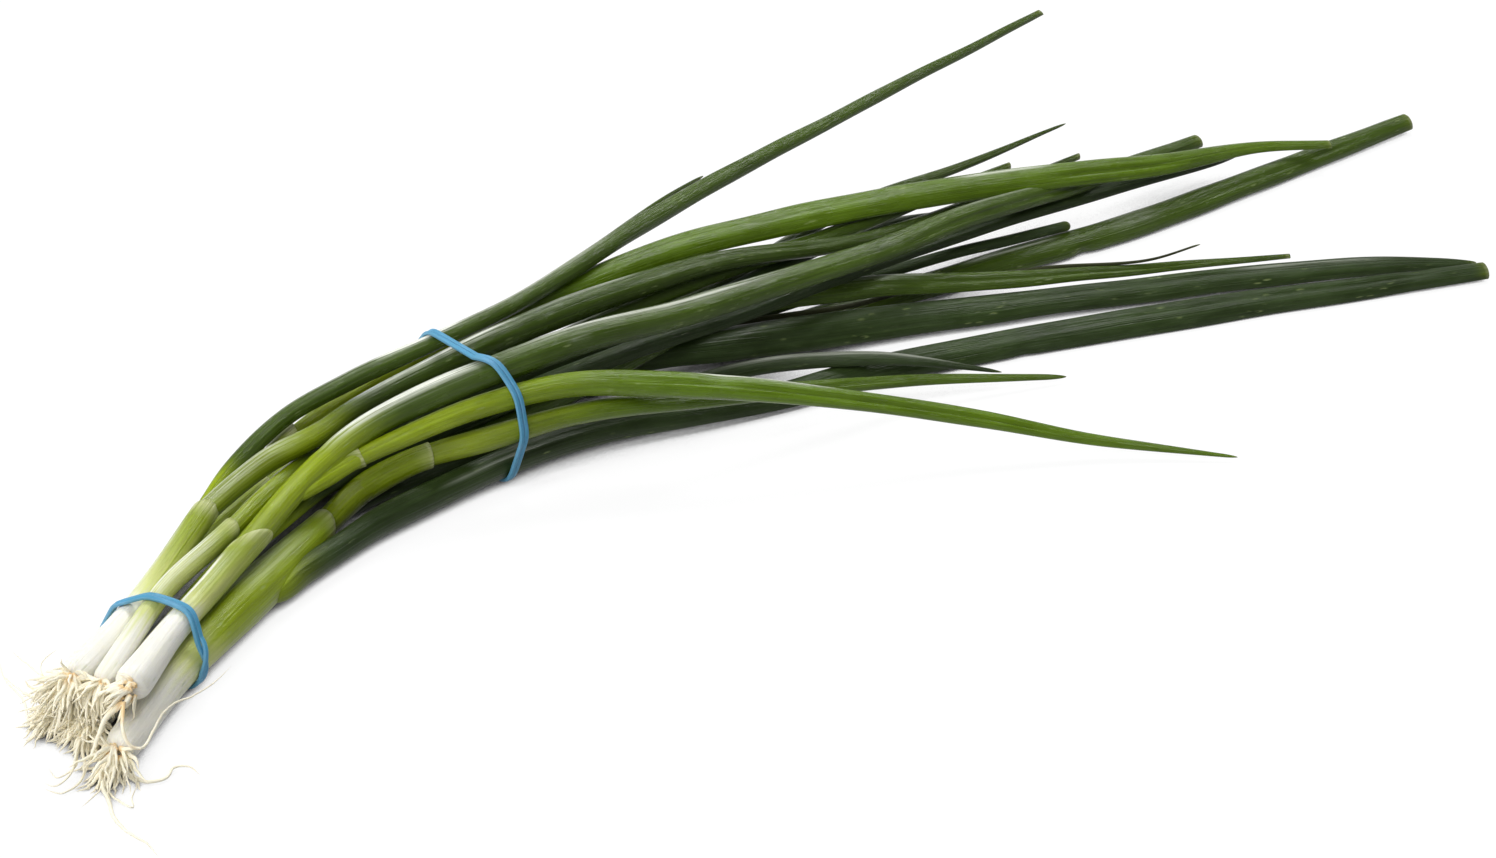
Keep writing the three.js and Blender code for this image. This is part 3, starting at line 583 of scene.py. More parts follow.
def rings_round(line, relief=1.0):
    """The rings of skin round a line, with their relief as a factor; flat ones thin to an edge."""
    flat = np.clip(line.thick / line.width, 0.2, 1)[:, None]
    side = np.cos(ANGLES)[None, :]
    rise = np.sin(ANGLES)[None, :]
    rise = np.sign(rise) * np.abs(rise) ** (1 + 0.55 * (1 - flat))
    half_width = line.width[:, None] / 2 * side * relief
    half_thick = line.thick[:, None] / 2 * rise * relief
    return (line.centre[:, None, :] + line.across[:, None, :] * half_width[..., None]
            + line.up[:, None, :] * half_thick[..., None])


# ------------------------------------------------------------------ meshes
def bunch_mesh(name, points, edges, faces):
    """A mesh of points in mm, that are moved so that the bunch is over the origin."""
    mesh = bpy.data.meshes.new(name)
    mesh.from_pydata(((np.asarray(points) + MOVE) * MM).tolist(), edges, faces)
    return mesh


def keep_on_points(mesh, name, values):
    """Keeps a value or a vector for each point of a mesh, for a material or a tree to read."""
    values = np.asarray(values, float)
    kind, field = ("FLOAT", "value") if values.ndim == 1 else ("FLOAT_VECTOR", "vector")
    mesh.attributes.new(name, kind, "POINT").data.foreach_set(field, values.ravel())


def stand(name, data):
    """A new object in the scene, at the origin."""
    made = bpy.data.objects.new(name, data)
    bpy.context.collection.objects.link(made)
    return made


def check_outward(mesh):
    """Stops if the faces of a closed mesh point inwards."""
    mesh.calc_loop_triangles()
    volume = 0.0
    for triangle in mesh.loop_triangles:
        a, b, c = (mesh.vertices[i].co for i in triangle.vertices)
        volume += a.dot(b.cross(c))
    if volume <= 0:
        raise RuntimeError(f"{mesh.name}: its faces point inwards")


# ------------------------------------------------------------------ skins
class Skin:
    """Rings of points from one end of a piece to the other, and what its material reads."""

    # The fourth mark is the pale streaks: partly silvery skin, partly painted highlights.
    MARKS = ("growth", "rim", "inside", "silver", "shade")

    def __init__(self, line, rings, seed):
        self.line = line
        self.rings = list(rings)
        self.distance = list(line.distance)
        self.seed = seed
        count = len(line.distance)
        self.marks = {name: [np.zeros(AROUND) for _ in range(count)] for name in self.MARKS}
        self.marks["shade"] = [np.ones(AROUND) for _ in range(count)]

    def mark(self, name, values):
        """Sets a mark, from one value for each ring or one for each point."""
        values = np.asarray(values, float)
        if values.ndim == 1:
            values = np.repeat(values[:, None], AROUND, axis=1)
        self.marks[name] = list(np.clip(values, 0, 2))

    def close(self, at_end, rounding):
        """Draws the rings in to a rounded end over the given length."""
        for i, distance in enumerate(self.line.distance):
            left = self.line.length - distance if at_end else distance
            if left < rounding:
                share = math.sqrt(max(0.0, 1 - (1 - left / rounding) ** 2))
                middle = self.line.centre[i]
                self.rings[i] = middle + (self.rings[i] - middle) * max(share, 0.02)

    def open_end(self, wall, deep, reach, angle):
        """Cuts the far end open: a rim, and an inner wall that runs back and is closed."""
        line = self.line
        slant = reach * np.cos(ANGLES - math.radians(angle))
        for i, distance in enumerate(line.distance):
            share = float(smooth(MOUTH_FADE, 0, line.length - distance))
            self.rings[i] = self.rings[i] + line.along[i] * (slant * share)[:, None]
        middle = line.centre[-1]
        last = self.rings[-1]
        radius = np.linalg.norm(last - middle, axis=1).mean()
        ahead = line.along[-1]
        # Each ring's place: walls in from the outside, and mm ahead of the end.
        steps = [(0.35, wall * 0.35), (0.75, wall * 0.3), (1.0, -0.1)]
        steps += [(1.0, -deep * 0.2), (1.1, -deep * 0.5), (1.3, -deep * 0.8), (1.6, -deep)]
        edge = {name: self.marks[name][-1] for name in self.MARKS}
        for part, forward in steps:
            inward = max(0.15, 1 - part * wall / radius)
            self.rings.append(middle + (last - middle) * inward + ahead * forward)
            self.distance.append(line.length + forward)
            for name in self.MARKS:
                self.marks[name].append(edge[name])
            if forward < 0.05:
                self.marks["inside"][-1] = np.ones(AROUND)

    def make(self, name, material):
        """A closed mesh object of the rings, at the origin, with the marks on its points."""
        rings = np.array(self.rings)
        ends = [rings[0].mean(axis=0), rings[-1].mean(axis=0)]
        head = len(rings) * AROUND + 1
        foot, last = head - 1, (len(rings) - 1) * AROUND
        after = [(j + 1) % AROUND for j in range(AROUND)]
        faces = []
        for here in range(0, last, AROUND):
            there = here + AROUND
            faces += [(here + j, there + j, there + k, here + k) for j, k in enumerate(after)]
        for j, k in enumerate(after):
            faces += [(foot, j, k), (head, last + k, last + j)]
        mesh = bunch_mesh(name, np.vstack([rings.reshape(-1, 3), ends]), [], faces)
        mesh.polygons.foreach_set("use_smooth", [True] * len(faces))
        self.paint(mesh)
        mesh.materials.append(material)
        mesh.update()
        check_outward(mesh)
        return stand(name, mesh)

    def paint(self, mesh):
        """Keeps the marks, and a place for the pattern: round the skin, and along it in cm."""
        distance = np.repeat(np.array(self.distance)[:, None], AROUND, axis=1)
        side = np.repeat(np.cos(ANGLES)[None, :], len(distance), axis=0)
        rise = np.repeat(np.sin(ANGLES)[None, :], len(distance), axis=0)
        place = np.stack([side, rise, distance / 10 + 7.3 * self.seed], axis=-1)
        ends = [[0, 0, place[0, 0, 2]], [0, 0, place[-1, 0, 2]]]
        keep_on_points(mesh, "skin_place", np.vstack([place.reshape(-1, 3), ends]))
        for name in self.MARKS:
            rows = np.array(self.marks[name])
            ends = [rows[0].mean(), rows[-1].mean()]
            keep_on_points(mesh, name, np.concatenate([rows.ravel(), ends]))


def on_side(angle, spread):
    """A share for each point round a skin: 1 on one side, in degrees, and less away from it."""
    return np.exp(-(turn_between(np.degrees(ANGLES), angle) / spread) ** 2)


def stretch(line, start, end, ease, most=math.inf):
    """A share for each ring: 1 between two places along X, and eased to 0 at both."""
    first, last = line.at(start), line.at(end)
    ease = min(most, (last - first) * ease)
    return smooth(first, first + ease, line.distance) * smooth(last, last - ease, line.distance)


def press_in(skin, shares, angle, spread, depth):
    """Presses one side of a skin in, by a share of the depth at each ring."""
    sideways = on_side(angle, spread)
    for i, share in enumerate(shares):
        if share > 0.01:
            inward = skin.line.centre[i] - skin.rings[i]
            inward = inward / np.maximum(np.linalg.norm(inward, axis=1), 1e-6)[:, None]
            skin.rings[i] = skin.rings[i] + inward * (depth * share * sideways)[:, None]


def add_details(skin, name):
    """Presses in the folds and dents of a stalk or leaf, and marks its pale streaks: silvery skin
    and painted highlights.
    """
    line = skin.line
    details = DETAILS.get(name, {})
    for start, end, *pressed in details.get("folds", []):
        press_in(skin, stretch(line, start, end, 1 / 3, 25.0), *pressed)
    for place, length, *pressed in details.get("dents", []):
        press_in(skin, np.exp(-((line.distance - line.at(place)) / length) ** 2), *pressed)
    # Pale streaks: partly silvery skin, partly painted highlights.
    pale = np.zeros((len(line.distance), AROUND))
    for start, end, angle, spread, strength in details.get("streaks", []):
        share = stretch(line, start, end, 0.3)[:, None] * on_side(angle, spread)
        pale = np.maximum(pale, share * strength)
    skin.mark("silver", pale)


def ribs(rng, line, depth):
    """A factor for the skin's radius: low uneven ribs that run along it."""
    bumps = np.zeros((len(line.distance), AROUND))
    for count in (3, 5, 8):
        drift = slow_noise(rng, line.distance, 90)[:, None] * 0.5
        bumps += np.cos(count * ANGLES[None, :] + rng.uniform(0, 6.3) + drift) / 3
    swell = slow_noise(rng, line.distance, 45)[:, None] * 0.9
    return 1.015 + depth * (bumps + swell)


# ------------------------------------------------------------------ node trees
VALUE, COLOUR, VECTOR = "NodeSocketFloat", "NodeSocketColor", "NodeSocketVector"
GEOMETRY, INTEGER, MATERIAL = "NodeSocketGeometry", "NodeSocketInt", "NodeSocketMaterial"


def in_use(sockets, key):
    """A socket by its number, or by its name among those that the node has in use."""
    if isinstance(key, int):
        return sockets[key]
    return [socket for socket in sockets if socket.enabled and socket.name == key][0]


def feed(tree, node, feeds):
    """Gives each of a node's inputs a value or another node's output."""
    for key, value in feeds.items():
        socket = in_use(node.inputs, key)
        if isinstance(value, bpy.types.NodeSocket):
            tree.links.new(value, socket)
        elif socket.type == "RGBA":
            socket.default_value = (*value, 1)
        else:
            socket.default_value = value


def add_node(tree, kind, feeds=None, **settings):
    """Adds a node with its settings and inputs."""
    made = tree.nodes.new(kind)
    for key, value in settings.items():
        setattr(made, key, value)
    feed(tree, made, feeds or {})
    return made


def output(tree, kind, feeds=None, **settings):
    """Adds a node with its settings and inputs, and gives its first output."""
    return add_node(tree, kind, feeds, **settings).outputs[0]


def arrange(tree):
    """Sets the nodes out from left to right in the order that they feed each other."""
    depth = {node.name: 0 for node in tree.nodes}
    for _ in range(len(tree.nodes)):
        for wire in tree.links:
            step = depth[wire.from_node.name] + 1
            depth[wire.to_node.name] = max(depth[wire.to_node.name], step)
    across, down = 220, 190
    rows = {}
    for node in tree.nodes:
        column = depth[node.name]
        rows[column] = rows.get(column, 0) + 1
        node.location = (column * across, -rows[column] * down)


def new_tree(name, kind, inputs, outputs):
    """A node group with named sockets, what its input node gives, and its output node."""
    tree = bpy.data.node_groups.new(name, kind)
    for label, socket_type, *default in inputs:
        socket = tree.interface.new_socket(label, in_out="INPUT", socket_type=socket_type)
        if default:
            socket.default_value = default[0]
    for label, socket_type in outputs:
        tree.interface.new_socket(label, in_out="OUTPUT", socket_type=socket_type)
    return tree, tree.nodes.new("NodeGroupInput").outputs, tree.nodes.new("NodeGroupOutput")


def maths(tree, operation, first, second=0.0, third=0.0):
    feeds = {0: first, 1: second, 2: third}
    return output(tree, "ShaderNodeMath", feeds, operation=operation)


def vector_maths(tree, operation, first, second):
    feeds = {0: first, "Scale" if operation == "SCALE" else 1: second}
    return output(tree, "ShaderNodeVectorMath", feeds, operation=operation)


def grain(tree, vector, scale, detail=2.0):
    """Noise from 0 to 1, on a vector that is stretched by a scale for each axis."""
    feeds = {"Vector": vector_maths(tree, "MULTIPLY", vector, scale), "Scale": 1.0,
             "Detail": detail, "Roughness": 0.55}
    return add_node(tree, "ShaderNodeTexNoise", feeds).outputs["Fac"]


def eased(tree, value, low, high, to_low=0.0, to_high=1.0):
    """A value carried from one range to another with an easy curve."""
    feeds = {"Value": value, "From Min": low, "From Max": high, "To Min": to_low,
             "To Max": to_high}
    return output(tree, "ShaderNodeMapRange", feeds, interpolation_type="SMOOTHSTEP")


def blend_colour(tree, share, first, second, mode="MIX"):
    made = add_node(tree, "ShaderNodeMix", {0: share}, data_type="RGBA", blend_type=mode)
    feed(tree, made, {6: first, 7: second})
    return made.outputs[2]


# ------------------------------------------------------------------ materials
def skin_marks():
    """Veins, streaks, blotches and flecks that follow a stalk or leaf."""
    tree, given, wanted = new_tree(
        "Onion skin marks", "ShaderNodeTree", [("Place", VECTOR)],
        [(name, VALUE) for name in ("Vein", "Streak", "Blotch", "Fleck", "Height")])
    place = given["Place"]
    vein = grain(tree, place, (5.0, 5.0, 0.16), 4.0)
    fine = grain(tree, place, (14, 14, 0.35), 3.0)
    streak = grain(tree, place, (1.7, 1.7, 0.14), 2.0)
    blotch = grain(tree, place, (1.3, 1.3, 0.8), 3.0)
    spaced = vector_maths(tree, "MULTIPLY", place, (2.4, 2.4, 1.4))
    cells = add_node(tree, "ShaderNodeTexVoronoi", {"Vector": spaced, "Scale": 1.0})
    near = eased(tree, cells.outputs["Distance"], 0.3, 0.1)
    crowd = eased(tree, grain(tree, place, (0.9, 0.9, 0.7), 1.0), 0.48, 0.68)
    ragged = eased(tree, grain(tree, place, (7, 7, 2), 3.0), 0.4, 0.55)
    fleck = maths(tree, "MULTIPLY", maths(tree, "MULTIPLY", near, crowd), ragged)
    height = maths(tree, "MULTIPLY_ADD", fine, 0.6, maths(tree, "MULTIPLY", vein, 0.9))
    vein = maths(tree, "MULTIPLY_ADD", fine, 0.35, maths(tree, "MULTIPLY", vein, 0.65))
    height = maths(tree, "MULTIPLY_ADD", fleck, -0.25, height)
    height = maths(tree, "MULTIPLY_ADD", grain(tree, place, (7, 7, 6), 2.0), 0.25, height)
    feed(tree, wanted, {
        "Vein": vein, "Streak": streak, "Blotch": blotch, "Fleck": fleck, "Height": height})
    arrange(tree)
    return tree


def skin_tint():
    """The skin's colour, from how far it has grown and from its marks."""
    colours = ["White", "Pale", "Young", "Deep", "Edge", "Lining"]
    masks = ["Growth", "Vein", "Streak", "Blotch", "Fleck", "Rim", "Inside", "Silver", "Shade"]
    inputs = [(name, COLOUR) for name in colours] + [(name, VALUE) for name in masks]
    tree, given, wanted = new_tree(
        "Onion skin tint", "ShaderNodeTree", inputs, [("Colour", COLOUR)])
    shift = maths(tree, "MULTIPLY_ADD", given["Streak"], 0.3, -0.15)
    shift = maths(tree, "ADD", shift, maths(tree, "MULTIPLY_ADD", given["Vein"], 0.24, -0.12))
    damp = eased(tree, given["Growth"], 1.0, 0.8, 0.25, 1.0)
    growth = maths(tree, "MULTIPLY_ADD", shift, damp, given["Growth"])
    tint = blend_colour(tree, eased(tree, growth, 0.02, 0.27), given["White"], given["Pale"])
    tint = blend_colour(tree, eased(tree, growth, 0.22, 0.5), tint, given["Young"])
    tint = blend_colour(tree, eased(tree, growth, 0.5, 1.0), tint, given["Deep"])
    light = maths(tree, "MULTIPLY_ADD", given["Blotch"], 0.7, 0.65)
    light = maths(tree, "MULTIPLY", light, maths(tree, "MULTIPLY_ADD", given["Vein"], 1.5, 0.25))
    green = eased(tree, growth, 0.1, 0.6, 0.25, 1.0)
    light = maths(tree, "MULTIPLY_ADD", maths(tree, "SUBTRACT", light, 1.0), green, 1.0)
    light = maths(tree, "MULTIPLY", light, given["Shade"])
    bright = add_node(tree, "ShaderNodeCombineColor", {0: light, 1: light, 2: light}).outputs[0]
    tint = blend_colour(tree, 1.0, tint, bright, "MULTIPLY")
    tint = blend_colour(tree, maths(tree, "MULTIPLY", given["Fleck"], 0.42), tint, FLECK)
    # Pale streaks, broken up by the veins: partly silvery skin, partly painted highlights.
    broken = eased(tree, given["Vein"], 0.42, 0.56, 0.08, 1.0)
    tint = blend_colour(tree, maths(tree, "MULTIPLY", given["Silver"], broken), tint, SILVER_AND_HIGHLIGHT)
    broken = eased(tree, given["Vein"], 0.36, 0.6, 0.25, 1.0)
    rim = maths(tree, "MULTIPLY", given["Rim"], broken)
    tint = blend_colour(tree, rim, tint, given["Edge"])
    tint = blend_colour(tree, given["Inside"], tint, given["Lining"])
    feed(tree, wanted, {"Colour": tint})
    arrange(tree)
    return tree


def shared(name, make):
    """A material that is made the first time that it is asked for."""
    return bpy.data.materials.get(name) or make()


def new_material(name):
    """A material, its tree and its main shader."""
    material = bpy.data.materials.new(name)
    material.use_nodes = True
    tree = material.node_tree
    return material, tree, tree.nodes["Principled BSDF"]


def read_attribute(tree, name, kind="Fac"):
    return add_node(tree, "ShaderNodeAttribute", attribute_name=name).outputs[kind]


def relief(tree, height, distance, strength):
    """A bump, over a distance in mm."""
    feeds = {"Height": height, "Distance": distance * MM, "Strength": strength}
    return output(tree, "ShaderNodeBump", feeds)


def skin_material(name, deep, rough, shine=0.38, wax=0.0, soft=0.0):
    """Skin of a stalk or leaf, with the green that it grows into."""
    colours = bpy.context.scene.bunch_colours
    groups = bpy.data.node_groups
    material, tree, surface = new_material(name)
    marks = add_node(
        tree, "ShaderNodeGroup", {"Place": read_attribute(tree, "skin_place", "Vector")},
        node_tree=groups.get("Onion skin marks") or skin_marks()).outputs
    feeds = {label: marks[label] for label in ("Vein", "Streak", "Blotch", "Fleck")}
    for label in Skin.MARKS:
        feeds[label.capitalize()] = read_attribute(tree, label)
    feeds.update({
        "White": tuple(colours.white), "Pale": tuple(colours.pale),
        "Young": tuple(colours.young), "Deep": deep, "Edge": SHEATH_EDGE,
        "Lining": LEAF_LINING})
    tint = output(
        tree, "ShaderNodeGroup", feeds, node_tree=groups.get("Onion skin tint") or skin_tint())
    if wax:
        bloom = eased(tree, marks["Blotch"], 0.35, 0.75, 0.0, wax)
        tint = blend_colour(tree, bloom, tint, WAX_BLOOM)
    feed(tree, surface, {
        "Base Color": tint,
        "Roughness": eased(tree, marks["Blotch"], 0.3, 0.7, rough - 0.05, rough + 0.09),
        "Normal": relief(tree, marks["Height"], 0.4, 0.9), "Specular IOR Level": shine})
    if soft:
        feed(tree, surface, {
            "Subsurface Weight": soft, "Subsurface Radius": (1.0, 0.9, 0.4),
            "Subsurface Scale": 1.6 * MM})
    arrange(tree)
    return material


def leaf_material(tone):
    """Skin of a leaf in one of the four tones."""
    name = f"{tone}_leaf_skin"
    look = TONES[tone]
    deep = DRY_LEAF if tone == "dry" else tuple(getattr(bpy.context.scene.bunch_colours, tone))
    return shared(name, lambda: skin_material(
        name, deep, look["rough"], shine=look["shine"], wax=look["wax"]))


def root_material():
    """Cream roots that are browner at the root plate and spotted."""
    colours = bpy.context.scene.bunch_colours
    material, tree, surface = new_material("onion_root")
    share = read_attribute(tree, "root_share")
    place = add_node(tree, "ShaderNodeTexCoord").outputs["Object"]
    cloud = grain(tree, place, (260, 260, 260), 3.0)
    spots = grain(tree, place, (900, 900, 900), 2.0)
    away = maths(tree, "MULTIPLY_ADD", cloud, 0.5, maths(tree, "ADD", share, -0.25))
    tint = blend_colour(
        tree, eased(tree, away, 0.0, 0.24), tuple(colours.root_plate), tuple(colours.root))
    tint = blend_colour(tree, eased(tree, spots, 0.55, 0.8, 0.0, 0.2), tint, ROOT_SPOT)
    tint = blend_colour(tree, eased(tree, share, 0.7, 1.0, 0.0, 0.5), tint, ROOT_TIP)
    feed(tree, surface, {
        "Base Color": tint, "Roughness": eased(tree, cloud, 0.3, 0.7, 0.5, 0.7),
        "Normal": relief(tree, spots, 0.15, 0.6), "Specular IOR Level": 0.35,
        "Subsurface Weight": 0.1, "Subsurface Radius": (1.0, 0.85, 0.6),
        "Subsurface Scale": 0.8 * MM})
    arrange(tree)
    return material


def rubber_material():
    """Blue rubber, a little dusty, and paler along the strand's edges."""
    colours = bpy.context.scene.bunch_colours
    material, tree, surface = new_material("blue_rubber")
    place = add_node(tree, "ShaderNodeTexCoord").outputs["Object"]
    cloud = grain(tree, place, (140, 140, 140), 3.0)
    fine = grain(tree, place, (1600, 1600, 1600), 3.0)
    tint = blend_colour(
        tree, eased(tree, cloud, 0.35, 0.7, 0.0, 0.55), tuple(colours.band), BAND_CLOUD)
    tint = blend_colour(tree, eased(tree, fine, 0.5, 0.75, 0.0, 0.3), tint, BAND_GRAIN)
    edge = eased(tree, read_attribute(tree, "strand_edge"), 0.2, 0.9, 0.0, 0.35)
    feed(tree, surface, {
        "Base Color": blend_colour(tree, edge, tint, BAND_EDGE),
        "Roughness": eased(tree, fine, 0.3, 0.7, 0.42, 0.56),
        "Normal": relief(tree, fine, 0.08, 0.5), "Specular IOR Level": 0.4})
    arrange(tree)
    return material


# ------------------------------------------------------------------ geometry trees
def new_geometry_tree(name, inputs):
    """A geometry tree that takes a geometry and named inputs, and gives a geometry."""
    shape = ("Geometry", GEOMETRY)
    return new_tree(name, "GeometryNodeTree", [shape, *inputs], [shape])


def finish_tree(tree, wanted, geometry, material):
    """Ends a geometry tree with smooth shading, realized instances and the material."""
    shaded = output(tree, "GeometryNodeSetShadeSmooth", {"Geometry": geometry})
    real = output(tree, "GeometryNodeRealizeInstances", {"Geometry": shaded})
    dressed = output(tree, "GeometryNodeSetMaterial", {"Geometry": real, "Material": material})
    feed(tree, wanted, {"Geometry": dressed})
    arrange(tree)


def random_for_root(tree, low, high, root, seed):
    """A random number between two limits for each root."""
    feeds = {"Min": low, "Max": high, "ID": root, "Seed": seed}
    made = add_node(tree, "FunctionNodeRandomValue", feeds, data_type="FLOAT")
    return in_use(made.outputs, "Value")


def stored(tree, name, kind):
    """What a mesh keeps on its points under a name."""
    made = add_node(tree, "GeometryNodeInputNamedAttribute", {"Name": name}, data_type=kind)
    return in_use(made.outputs, "Attribute")


def store(tree, geometry, name, value):
    """Keeps a value on a geometry's points, for its material to read."""
    feeds = {"Geometry": geometry, "Name": name, "Value": value}
    return output(
        tree, "GeometryNodeStoreNamedAttribute", feeds, data_type="FLOAT", domain="POINT")


def wander(tree, geometry, scale, amount, shift):
    """Moves points by a smooth wandering offset that depends on where they are."""
    position = output(tree, "GeometryNodeInputPosition")
    moved = vector_maths(tree, "ADD", position, shift)
    feeds = {"Vector": moved, "Scale": scale, "Detail": 1.0}
    noise = add_node(tree, "ShaderNodeTexNoise", feeds).outputs["Color"]
    centred = vector_maths(tree, "SUBTRACT", noise, (0.5, 0.5, 0.5))
    offset = vector_maths(tree, "SCALE", centred, amount)
    return output(tree, "GeometryNodeSetPosition", {"Geometry": geometry, "Offset": offset})


def root_mesh(tree, curve, share, width, sides):
    """Round tubes along the curves, thinner towards their tips and closed there."""
    taper = maths(tree, "MULTIPLY_ADD", share, -0.6, 1.0)
    point = maths(tree, "SUBTRACT", 1.0, maths(tree, "POWER", share, 9.0))
    taper = maths(tree, "MULTIPLY", taper, maths(tree, "MAXIMUM", point, 0.12))
    ring = output(tree, "GeometryNodeCurvePrimitiveCircle", {"Resolution": sides, "Radius": 0.5})
    return output(tree, "GeometryNodeCurveToMesh", {
        "Curve": curve, "Profile Curve": ring, "Scale": maths(tree, "MULTIPLY", taper, width),
        "Fill Caps": True})


def root_tuft_tree():
    """Short roots that leave a root plate, wander, and droop to the floor."""
    tree, given, wanted = new_geometry_tree("Root tuft", [
        ("Density", VALUE, 1e6), ("Seed", INTEGER, 1), ("Length", VALUE, 12 * MM),
        ("Width", VALUE, 1.3 * MM), ("Spread", VALUE, TUFT_SPREAD),
        ("Lean", VECTOR), ("Droop", VALUE, 4 * MM), ("Curl", VALUE, TUFT_CURL),
        ("Floor", VALUE, 0.0), ("Material", MATERIAL)])
    seed = given["Seed"]
    scatter = add_node(
        tree, "GeometryNodeDistributePointsOnFaces",
        {"Mesh": given["Geometry"], "Density": given["Density"], "Seed": seed})
    straight = output(tree, "GeometryNodeCurvePrimitiveLine", {"End": (0, 0, 1)})
    straight = output(
        tree, "GeometryNodeResampleCurve", {"Curve": straight, "Count": ROOT_POINTS})
    index = output(tree, "GeometryNodeInputIndex")
    lean = {axis: random_for_root(tree, -1.0, 1.0, index, 11 + axis) for axis in range(3)}
    lean = vector_maths(
        tree, "SCALE", output(tree, "ShaderNodeCombineXYZ", lean), given["Spread"])
    heading = vector_maths(tree, "ADD", scatter.outputs["Normal"], lean)
    heading = vector_maths(tree, "ADD", heading, given["Lean"])
    turned = output(tree, "FunctionNodeAlignRotationToVector", {"Vector": heading}, axis="Z")
    long = maths(tree, "MULTIPLY", random_for_root(tree, 0.45, 1.0, index, seed), given["Length"])
    roots = output(tree, "GeometryNodeInstanceOnPoints", {
        "Points": scatter.outputs["Points"], "Instance": straight, "Rotation": turned,
        "Scale": long})
    roots = output(tree, "GeometryNodeRealizeInstances", {"Geometry": roots})
    share = add_node(tree, "GeometryNodeSplineParameter").outputs["Factor"]
    own = add_node(tree, "GeometryNodeCurveOfPoint").outputs["Curve Index"]
    roots = store(tree, roots, "root_share", share)
    curl = maths(tree, "MULTIPLY", maths(tree, "POWER", share, 1.3), given["Curl"])
    shift = output(tree, "ShaderNodeCombineXYZ", {0: seed, 1: own, 2: 0.0})
    shift = vector_maths(tree, "MULTIPLY", shift, (0.37, 0.0035, 0.0))
    roots = wander(tree, roots, 110.0, curl, shift)
    fine = maths(tree, "MULTIPLY", share, maths(tree, "MULTIPLY", given["Curl"], 0.28))
    roots = wander(tree, roots, 420.0, fine, shift)
    fall = maths(tree, "MULTIPLY", maths(tree, "POWER", share, 1.7), given["Droop"])
    fall = maths(tree, "MULTIPLY", fall, random_for_root(tree, 0.3, 1.35, own, 5))
    place = output(tree, "GeometryNodeInputPosition")
    axes = add_node(tree, "ShaderNodeSeparateXYZ", {0: place}).outputs
    half = maths(tree, "MULTIPLY_ADD", given["Width"], 0.5, given["Floor"])
    low = maths(tree, "MAXIMUM", maths(tree, "SUBTRACT", axes[2], fall), half)
    settled = output(tree, "ShaderNodeCombineXYZ", {0: axes[0], 1: axes[1], 2: low})
    roots = output(tree, "GeometryNodeSetPosition", {"Geometry": roots, "Position": settled})
    width = maths(tree, "MULTIPLY", given["Width"], random_for_root(tree, 0.6, 1.15, own, 9))
    tubes = root_mesh(tree, roots, share, width, ROOT_SIDES)
    finish_tree(tree, wanted, tubes, given["Material"])
    return tree


def long_root_tree():
    """Roots that follow drawn routes, with a width kept on each route's points."""
    tree, given, wanted = new_geometry_tree("Long roots", [
        ("Step", VALUE, 0.7 * MM), ("Wiggle", VALUE, 1.2 * MM), ("Material", MATERIAL)])
    curve = output(tree, "GeometryNodeMeshToCurve", {"Mesh": given["Geometry"]})
    curve = output(
        tree, "GeometryNodeCurveSplineType", {"Curve": curve}, spline_type="CATMULL_ROM")
    curve = output(
        tree, "GeometryNodeResampleCurve", {"Curve": curve, "Length": given["Step"]},
        mode="LENGTH")
    share = add_node(tree, "GeometryNodeSplineParameter").outputs["Factor"]
    curve = store(tree, curve, "root_share", share)
    amount = maths(tree, "MULTIPLY", given["Wiggle"], maths(tree, "MINIMUM", share, 0.4))
    curve = wander(tree, curve, 380.0, amount, (0.0, 0.0, 0.0))
    tubes = root_mesh(tree, curve, share, stored(tree, "root_width", "FLOAT"), LONG_ROOT_SIDES)
    finish_tree(tree, wanted, tubes, given["Material"])
    return tree


def rubber_strand_tree():
    """A flat strand with rounded corners along a closed path that knows its outward side."""
    tree, given, wanted = new_geometry_tree("Rubber strand", [
        ("Strand width", VALUE, 1.45 * MM), ("Strand thickness", VALUE, 1.2 * MM),
        ("Corner", VALUE, 0.4 * MM), ("Material", MATERIAL)])
    curve = output(tree, "GeometryNodeMeshToCurve", {"Mesh": given["Geometry"]})
    outward = stored(tree, "outward", "FLOAT_VECTOR")
    facing = output(
        tree, "GeometryNodeSetCurveNormal", {"Curve": curve, "Normal": outward}, mode="FREE")
    section = output(
        tree, "GeometryNodeCurvePrimitiveQuadrilateral",
        {"Width": given["Strand thickness"], "Height": given["Strand width"]})
    section = output(
        tree, "GeometryNodeFilletCurve",
        {"Curve": section, "Radius": given["Corner"], "Count": 4}, mode="POLY")
    place = output(tree, "GeometryNodeInputPosition")
    across = add_node(tree, "ShaderNodeSeparateXYZ", {0: place}).outputs[1]
    edge = maths(tree, "DIVIDE", maths(tree, "ABSOLUTE", across), given["Strand width"])
    section = store(tree, section, "strand_edge", maths(tree, "MULTIPLY", edge, 2.0))
    strand = output(tree, "GeometryNodeCurveToMesh", {
        "Curve": facing, "Profile Curve": section, "Fill Caps": False})
    finish_tree(tree, wanted, strand, given["Material"])
    return tree


def grow(name, base, tree, settings):
    """Runs a geometry tree on a mesh, and keeps the result as a plain mesh at the origin."""
    piece = stand(name, base)
    modifier = piece.modifiers.new("Shape", "NODES")
    modifier.node_group = tree
    for item in tree.interface.items_tree:
        if item.in_out == "INPUT" and item.name in settings:
            modifier[item.identifier] = settings[item.name]
    depsgraph = bpy.context.evaluated_depsgraph_get()
    mesh = bpy.data.meshes.new_from_object(piece.evaluated_get(depsgraph))
    piece.modifiers.remove(modifier)
    piece.data = mesh
    mesh.name = name
    if not len(mesh.polygons):
        raise RuntimeError(f"{name}: its tree made no faces")
    check_outward(mesh)
    return piece


